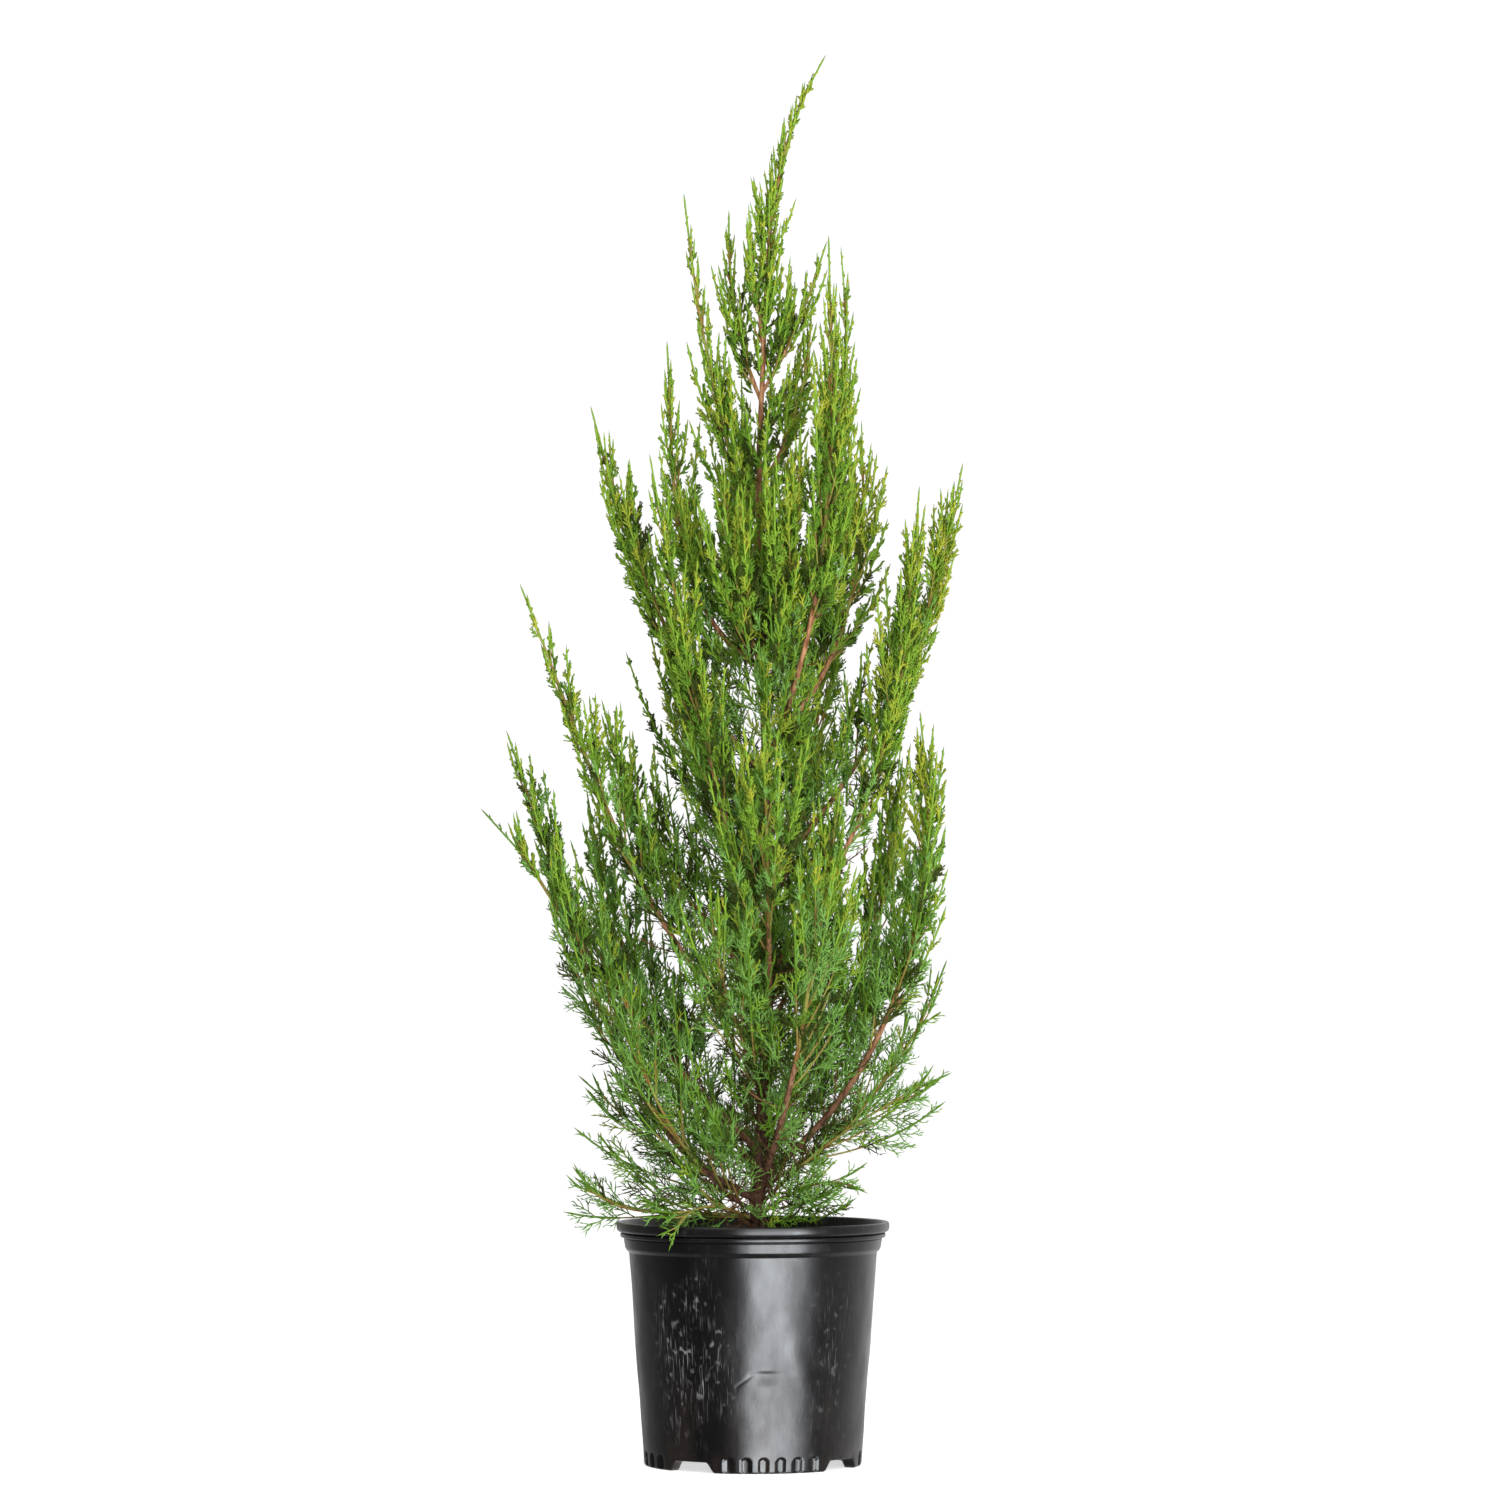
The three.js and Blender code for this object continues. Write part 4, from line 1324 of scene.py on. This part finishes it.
def leafy_axes(limbs):
    """All the stems that carry twigs: paths, length of the longest twigs, place along the limb, and
    how bare, fine, stout and one-sided each is."""
    paths, girths, alongs, bare = [], [], [], []
    for limb in limbs:
        shares = np.linspace(max(limb.bough * 0.35, LIMB_AXIS.first), 1, AXIS_POINTS)
        paths.append(limb_path(limb, shares))
        high = ramp(limb.controls[3][2], *LIMB_AXIS.slim_heights)
        slim = limb.slender * blend(1, LIMB_AXIS.slim, high)
        girths.append(limb.width * LIMB_AXIS.girth * slim)
        alongs.append(LIMB_AXIS.along)
        rooted = ramp(limb.controls[0][2], *LIMB_AXIS.bare_heights)
        bare.append(0.2 if limb.skirt else blend(0.7, 0.25, rooted))
    inside = inner_stems(limbs) + trunk_stems()
    for along, root, direction, length in side_stems(limbs) + inside:
        paths.append(side_path(root, direction, length, AXIS_POINTS))
        slim = blend(1, SIDE_AXIS.slim, ramp(root[2], *SIDE_AXIS.slim_heights))
        girths.append(np.clip(SIDE_AXIS.girth * length, SIDE_AXIS.least, SIDE_AXIS.most) * slim)
        alongs.append(along)
        bare.append(SIDE_AXIS.bare)
    axes = SimpleNamespace(paths=np.array(paths), girth=np.array(girths), along=np.array(alongs))
    height = axes.paths[:, AXIS_POINTS // 2, 2]
    axes.bare = np.array(bare)
    inner = np.arange(len(height)) >= len(height) - len(inside)
    inner = FINE.inner * inner * (1 - ramp(height, *FINE.inner_heights))
    axes.fine = np.maximum(1 - ramp(height, *FINE.heights), inner)
    axes.stout = ramp(height, *STOUT.heights)
    axes.under = UNDER.share * ramp(height, *UNDER.heights)
    return axes


def spray_kinds(points, share, along, mood, fine, draws):
    """Which green each spray has, from its height, how far out and how far right it is, its stem's
    mood, how fine it is and chance; the lean to the right is painted light from the key lamp on that
    side."""
    height = np.clip((points[:, 2] - 300) / 1100, 0, 1)
    away = np.hypot(points[:, 0], points[:, 1] * 0.8)
    outer = np.clip(away / blend(190, 60, height), 0, 1.2)
    # Sprays near the roots of their twigs and stems and deep in the crown get darker greens: partly
    # dull inner growth, partly painted shade
    light = LIGHT.height * height + LIGHT.share * share + LIGHT.along * along
    # Sprays further right are lighter: painted light from the key lamp on the right
    light = light + LIGHT.outer * outer + LIGHT.right * points[:, 0]
    light = light + LIGHT.mood * (mood - 0.5) + LIGHT.chance * (draws.random(len(points)) - 0.5)
    kinds = DARK_TO_LIGHT[np.searchsorted(np.quantile(light, LIGHT_STEPS), light)]
    often = np.maximum(blend(BLUE.often, 0, ramp(height, *BLUE.heights)), BLUE.fine * fine)
    often = often * np.where(kinds == GREEN["shade"], BLUE.shade, 1)
    return np.where(draws.random(len(points)) < often, GREEN["blue"], kinds)


def grow_twigs(settings, axes, draws):
    """Twigs dealt out round every stem, the fewer the nearer to its root."""
    spacing = settings.twig_spacing / MM * blend(1, FINE.spacing, axes.fine)
    lengths = np.linalg.norm(np.diff(axes.paths, axis=1), axis=2).sum(axis=1)
    counts = np.maximum(TWIG.fewest, np.round(lengths / spacing)).astype(int)
    owner, order, share = sprout(counts, *TWIG.span, draws)
    grown = share > axes.bare[owner] * np.sqrt(draws.random(len(owner)))
    owner, order, share = owner[grown], order[grown], share[grown]
    fine = axes.fine[owner]
    vary = TWIG.turn_vary * draws.random(len(owner))
    turn = np.radians(order * GOLDEN_TURN + owner * STEM_TURN + vary)
    opening = blend(*TWIG.open, share) + TWIG.open_vary * (draws.random(len(owner)) - 0.5)
    opening = np.radians(opening) * blend(1, FINE.open, fine)
    form = np.minimum(1, 0.55 + 2 * share) * (1 - share) ** 0.9 + 0.12
    length = axes.girth[owner] * form * blend(*TWIG.vary, draws.random(len(owner)))
    length = length * blend(1, FINE.length, fine)
    lift, under = blend(*TWIG.lift, fine), axes.under[owner]
    paths = branch(axes.paths, owner, share, turn, opening, length, lift, TWIG.points, under)
    keep = clear_of_pot(paths).all(axis=1)
    twigs = SimpleNamespace(paths=paths[keep], length=length[keep], fine=fine[keep])
    owner, share = owner[keep], share[keep]
    mood = draws.random(len(axes.paths))[owner]
    twigs.kinds = spray_kinds(twigs.paths[:, 2], share, axes.along[owner], mood, twigs.fine, draws)
    twigs.stout = axes.stout[owner]
    return twigs


def grow_sides(form, spacing, parents, draws):
    """Shoots or branchlets on both sides of every parent, longer and wider apart on fine fronds."""
    spacing = spacing / MM * blend(1, form.spacing, parents.fine)
    counts = np.round(parents.length / spacing - form.fewer)
    counts = np.maximum(form.fewest, counts).astype(int)
    owner, order, share = sprout(counts, *form.span, draws)
    fine = parents.fine[owner]
    roll = draws.random(len(parents.paths)) * math.pi
    turn = roll[owner] + order * math.pi + form.roll * (draws.random(len(owner)) - 0.5)
    opening = blend(*form.open, share) + form.open_vary * (draws.random(len(owner)) - 0.5)
    opening = np.radians(opening) * blend(1, form.fine_open, fine)
    length = form.share * parents.length[owner] * (1 - share) ** 0.7 + form.least
    length = np.clip(length, *form.limits) * blend(*form.vary, draws.random(len(owner)))
    length = length * blend(1, FINE.length, fine)
    lift = blend(*form.lift, fine)
    paths = branch(parents.paths, owner, share, turn, opening, length, lift, form.points)
    return SimpleNamespace(
        paths=paths, length=length, fine=fine, stout=parents.stout[owner], kinds=parents.kinds[owner]
    )


def grow_shoots(settings, axes):
    """All twigs, shoots and branchlets: paths, radii along them and greens."""
    draws = np.random.default_rng(settings.seed)
    twigs = grow_twigs(settings, axes, draws)
    shoots = grow_sides(SHOOT, settings.shoot_spacing, twigs, draws)
    branchlets = grow_sides(BRANCHLET, settings.leaf_spacing, shoots, draws)
    layers = []
    for level, size, shape in (
        (twigs, 1.2, (1.0, 1.0, 0.9, 0)),
        (shoots, 1.05, (0.9, 1.0, 0)),
        (branchlets, 0.95, (1.35, 0)),
    ):
        girth = settings.leaf_radius / MM * size * blend(1, STOUT.radius, level.stout)
        girth = girth * blend(1, FINE.radius, level.fine)
        layers.append((level.paths, girth[:, None] * np.array(shape), level.kinds))
    return layers


class JUNIPER_OT_foliage(bpy.types.Operator):
    """Grows the sprays of foliage on every limb, joined by their greens"""

    bl_idname = "juniper.foliage"
    bl_label = "Grow the foliage"

    def execute(self, context):
        limbs = make_limbs()
        axes = leafy_axes(limbs)
        layers = grow_shoots(context.scene.juniper_foliage, axes)
        nodes = [f"foliage_{limb.name}" for limb in limbs]
        low = axes.fine > 0.5
        ends = {"mid": axes.paths[~low], "deep": axes.paths[low]}
        for name, colour in GREENS:
            material = leaf_material(f"leaf_{name}", colour)
            parts = self.tubes_of(layers, GREEN[name])
            if name in ends:
                parts.append(self.axis_ends(ends[name]))
            for number, group in enumerate(self.groups(parts), 1):
                add_piece(f"foliage_{name}_{number}", *joined(group), material, "foliage", nodes)
                nodes = ()
        return {"FINISHED"}

    def tubes_of(self, layers, kind):
        """Tubes of one green, in blocks that are small enough to join."""
        parts = []
        for paths, radii, kinds in layers:
            chosen = np.flatnonzero(kinds == kind)
            for block in np.array_split(chosen, max(1, len(chosen) // BLOCK_TUBES)):
                if len(block):
                    parts.append(tubes(paths[block], radii[block], 3))
        return parts

    def axis_ends(self, paths):
        """The green ends of stems."""
        onward = paths[:, -1:] + unit(paths[:, -1:] - paths[:, -3:-2]) * 8
        paths = np.concatenate([paths[:, AXIS_POINTS // 2 :: 3], onward], axis=1)
        radii = np.linspace(1.25, 0.9, paths.shape[1])
        radii[-1] = 0
        return tubes(paths, np.tile(radii, (len(paths), 1)), 4)

    def groups(self, parts):
        """Parts gathered so that no piece has too many triangles."""
        groups, size = [[]], 0
        for part in parts:
            if size + len(part[1]) > PIECE_TRIANGLES:
                groups.append([])
                size = 0
            groups[-1].append(part)
            size += len(part[1])
        return groups


# Stage


class JUNIPER_OT_stage(bpy.types.Operator):
    """Sets the pale floor, the soft light and the camera"""

    bl_idname = "juniper.stage"
    bl_label = "Set the stage"

    def execute(self, context):
        settings = context.scene.juniper_stage
        context.scene.view_settings.view_transform = "Standard"
        self.floor(settings)
        self.surround(context, settings)
        for name, place, target, width, height, colour in LAMPS:
            lamp = bpy.data.lights.new(name, "AREA")
            lamp.shape = "RECTANGLE"
            lamp.size = width
            lamp.size_y = height
            lamp.energy = getattr(settings, name)
            lamp.color = colour
            self.add_aimed(context, name, lamp, place, target)
        camera = bpy.data.cameras.new("camera")
        camera.lens = settings.lens
        aimed = self.add_aimed(context, "camera", camera, settings.camera, settings.target)
        context.scene.camera = aimed
        return {"FINISHED"}

    def add_aimed(self, context, name, data, place, target):
        """A camera or lamp that is turned to a point."""
        thing = bpy.data.objects.new(name, data)
        thing.location = place
        way = Vector(target) - thing.location
        thing.rotation_euler = way.to_track_quat("-Z", "Y").to_euler()
        context.scene.collection.objects.link(thing)
        return thing

    def floor(self, settings):
        """Wide plain floor."""
        points = np.array([[-1, -1, 0], [1, -1, 0], [1, 1, 0], [-1, 1, 0]]) * FLOOR_REACH
        material, tree, surface = new_material("floor_pale")
        feed(tree, surface, Base_Color=rgba(settings.floor), Roughness=0.9, Specular_IOR_Level=0.1)
        feed(tree, surface, Emission_Color=(1, 1, 1, 1), Emission_Strength=FLOOR_GLOW)
        floor = add_mesh("floor", points, np.array([[0, 1, 2], [0, 2, 3]]), material)
        floor.visible_glossy = False

    def surround(self, context, settings):
        """Soft white light from all round, weaker in front and on the left."""
        world = bpy.data.worlds.new("surround")
        world.use_nodes = True
        tree = world.node_tree
        place = place_parts(tree, "Generated")
        full = settings.surround
        weak = full * FRONT_SURROUND
        depth = map_range(tree, place["Y"], From_Min=-0.3, From_Max=0.8, To_Min=weak, To_Max=full)
        left = map_range(tree, place["X"], From_Min=-0.7, From_Max=-0.2, To_Min=LEFT_SURROUND)
        strength = product(tree, depth, left)
        feed(tree, tree.nodes["Background"], Color=(1, 1, 1, 1), Strength=strength)
        context.scene.world = world


class JUNIPER_PT_panel(bpy.types.Panel):
    """Settings and steps in the sidebar"""

    bl_idname = "JUNIPER_PT_panel"
    bl_label = "Juniper"
    bl_space_type = "VIEW_3D"
    bl_region_type = "UI"
    bl_category = "Juniper"

    def draw(self, context):
        for group, step in STEPS:
            box = self.layout.box()
            settings = getattr(context.scene, group)
            for label in settings.bl_rna.properties.keys():
                if label not in ("rna_type", "name"):
                    box.prop(settings, label)
            box.operator(step)


STEPS = (
    ("juniper_pot", "juniper.pot"),
    ("juniper_pot", "juniper.soil"),
    ("juniper_wood", "juniper.wood"),
    ("juniper_foliage", "juniper.foliage"),
    ("juniper_stage", "juniper.stage"),
)
SETTINGS = {
    "juniper_pot": JuniperPotSettings,
    "juniper_wood": JuniperWoodSettings,
    "juniper_foliage": JuniperFoliageSettings,
    "juniper_stage": JuniperStageSettings,
}
CLASSES = (
    *SETTINGS.values(),
    JUNIPER_OT_pot,
    JUNIPER_OT_soil,
    JUNIPER_OT_wood,
    JUNIPER_OT_foliage,
    JUNIPER_OT_stage,
    JUNIPER_PT_panel,
)


def register():
    """Registers the classes and hangs the settings on the scene."""
    for kind in CLASSES:
        bpy.utils.register_class(kind)
    for name, kind in SETTINGS.items():
        setattr(bpy.types.Scene, name, PointerProperty(type=kind))


def unregister():
    """Takes the settings and the classes away again."""
    for name in SETTINGS:
        delattr(bpy.types.Scene, name)
    for kind in reversed(CLASSES):
        bpy.utils.unregister_class(kind)


def main():
    """Builds every piece and the stage."""
    register()
    bpy.ops.juniper.pot()
    bpy.ops.juniper.soil()
    bpy.ops.juniper.wood()
    bpy.ops.juniper.foliage()
    bpy.ops.juniper.stage()


if __name__ == "__main__":
    main()
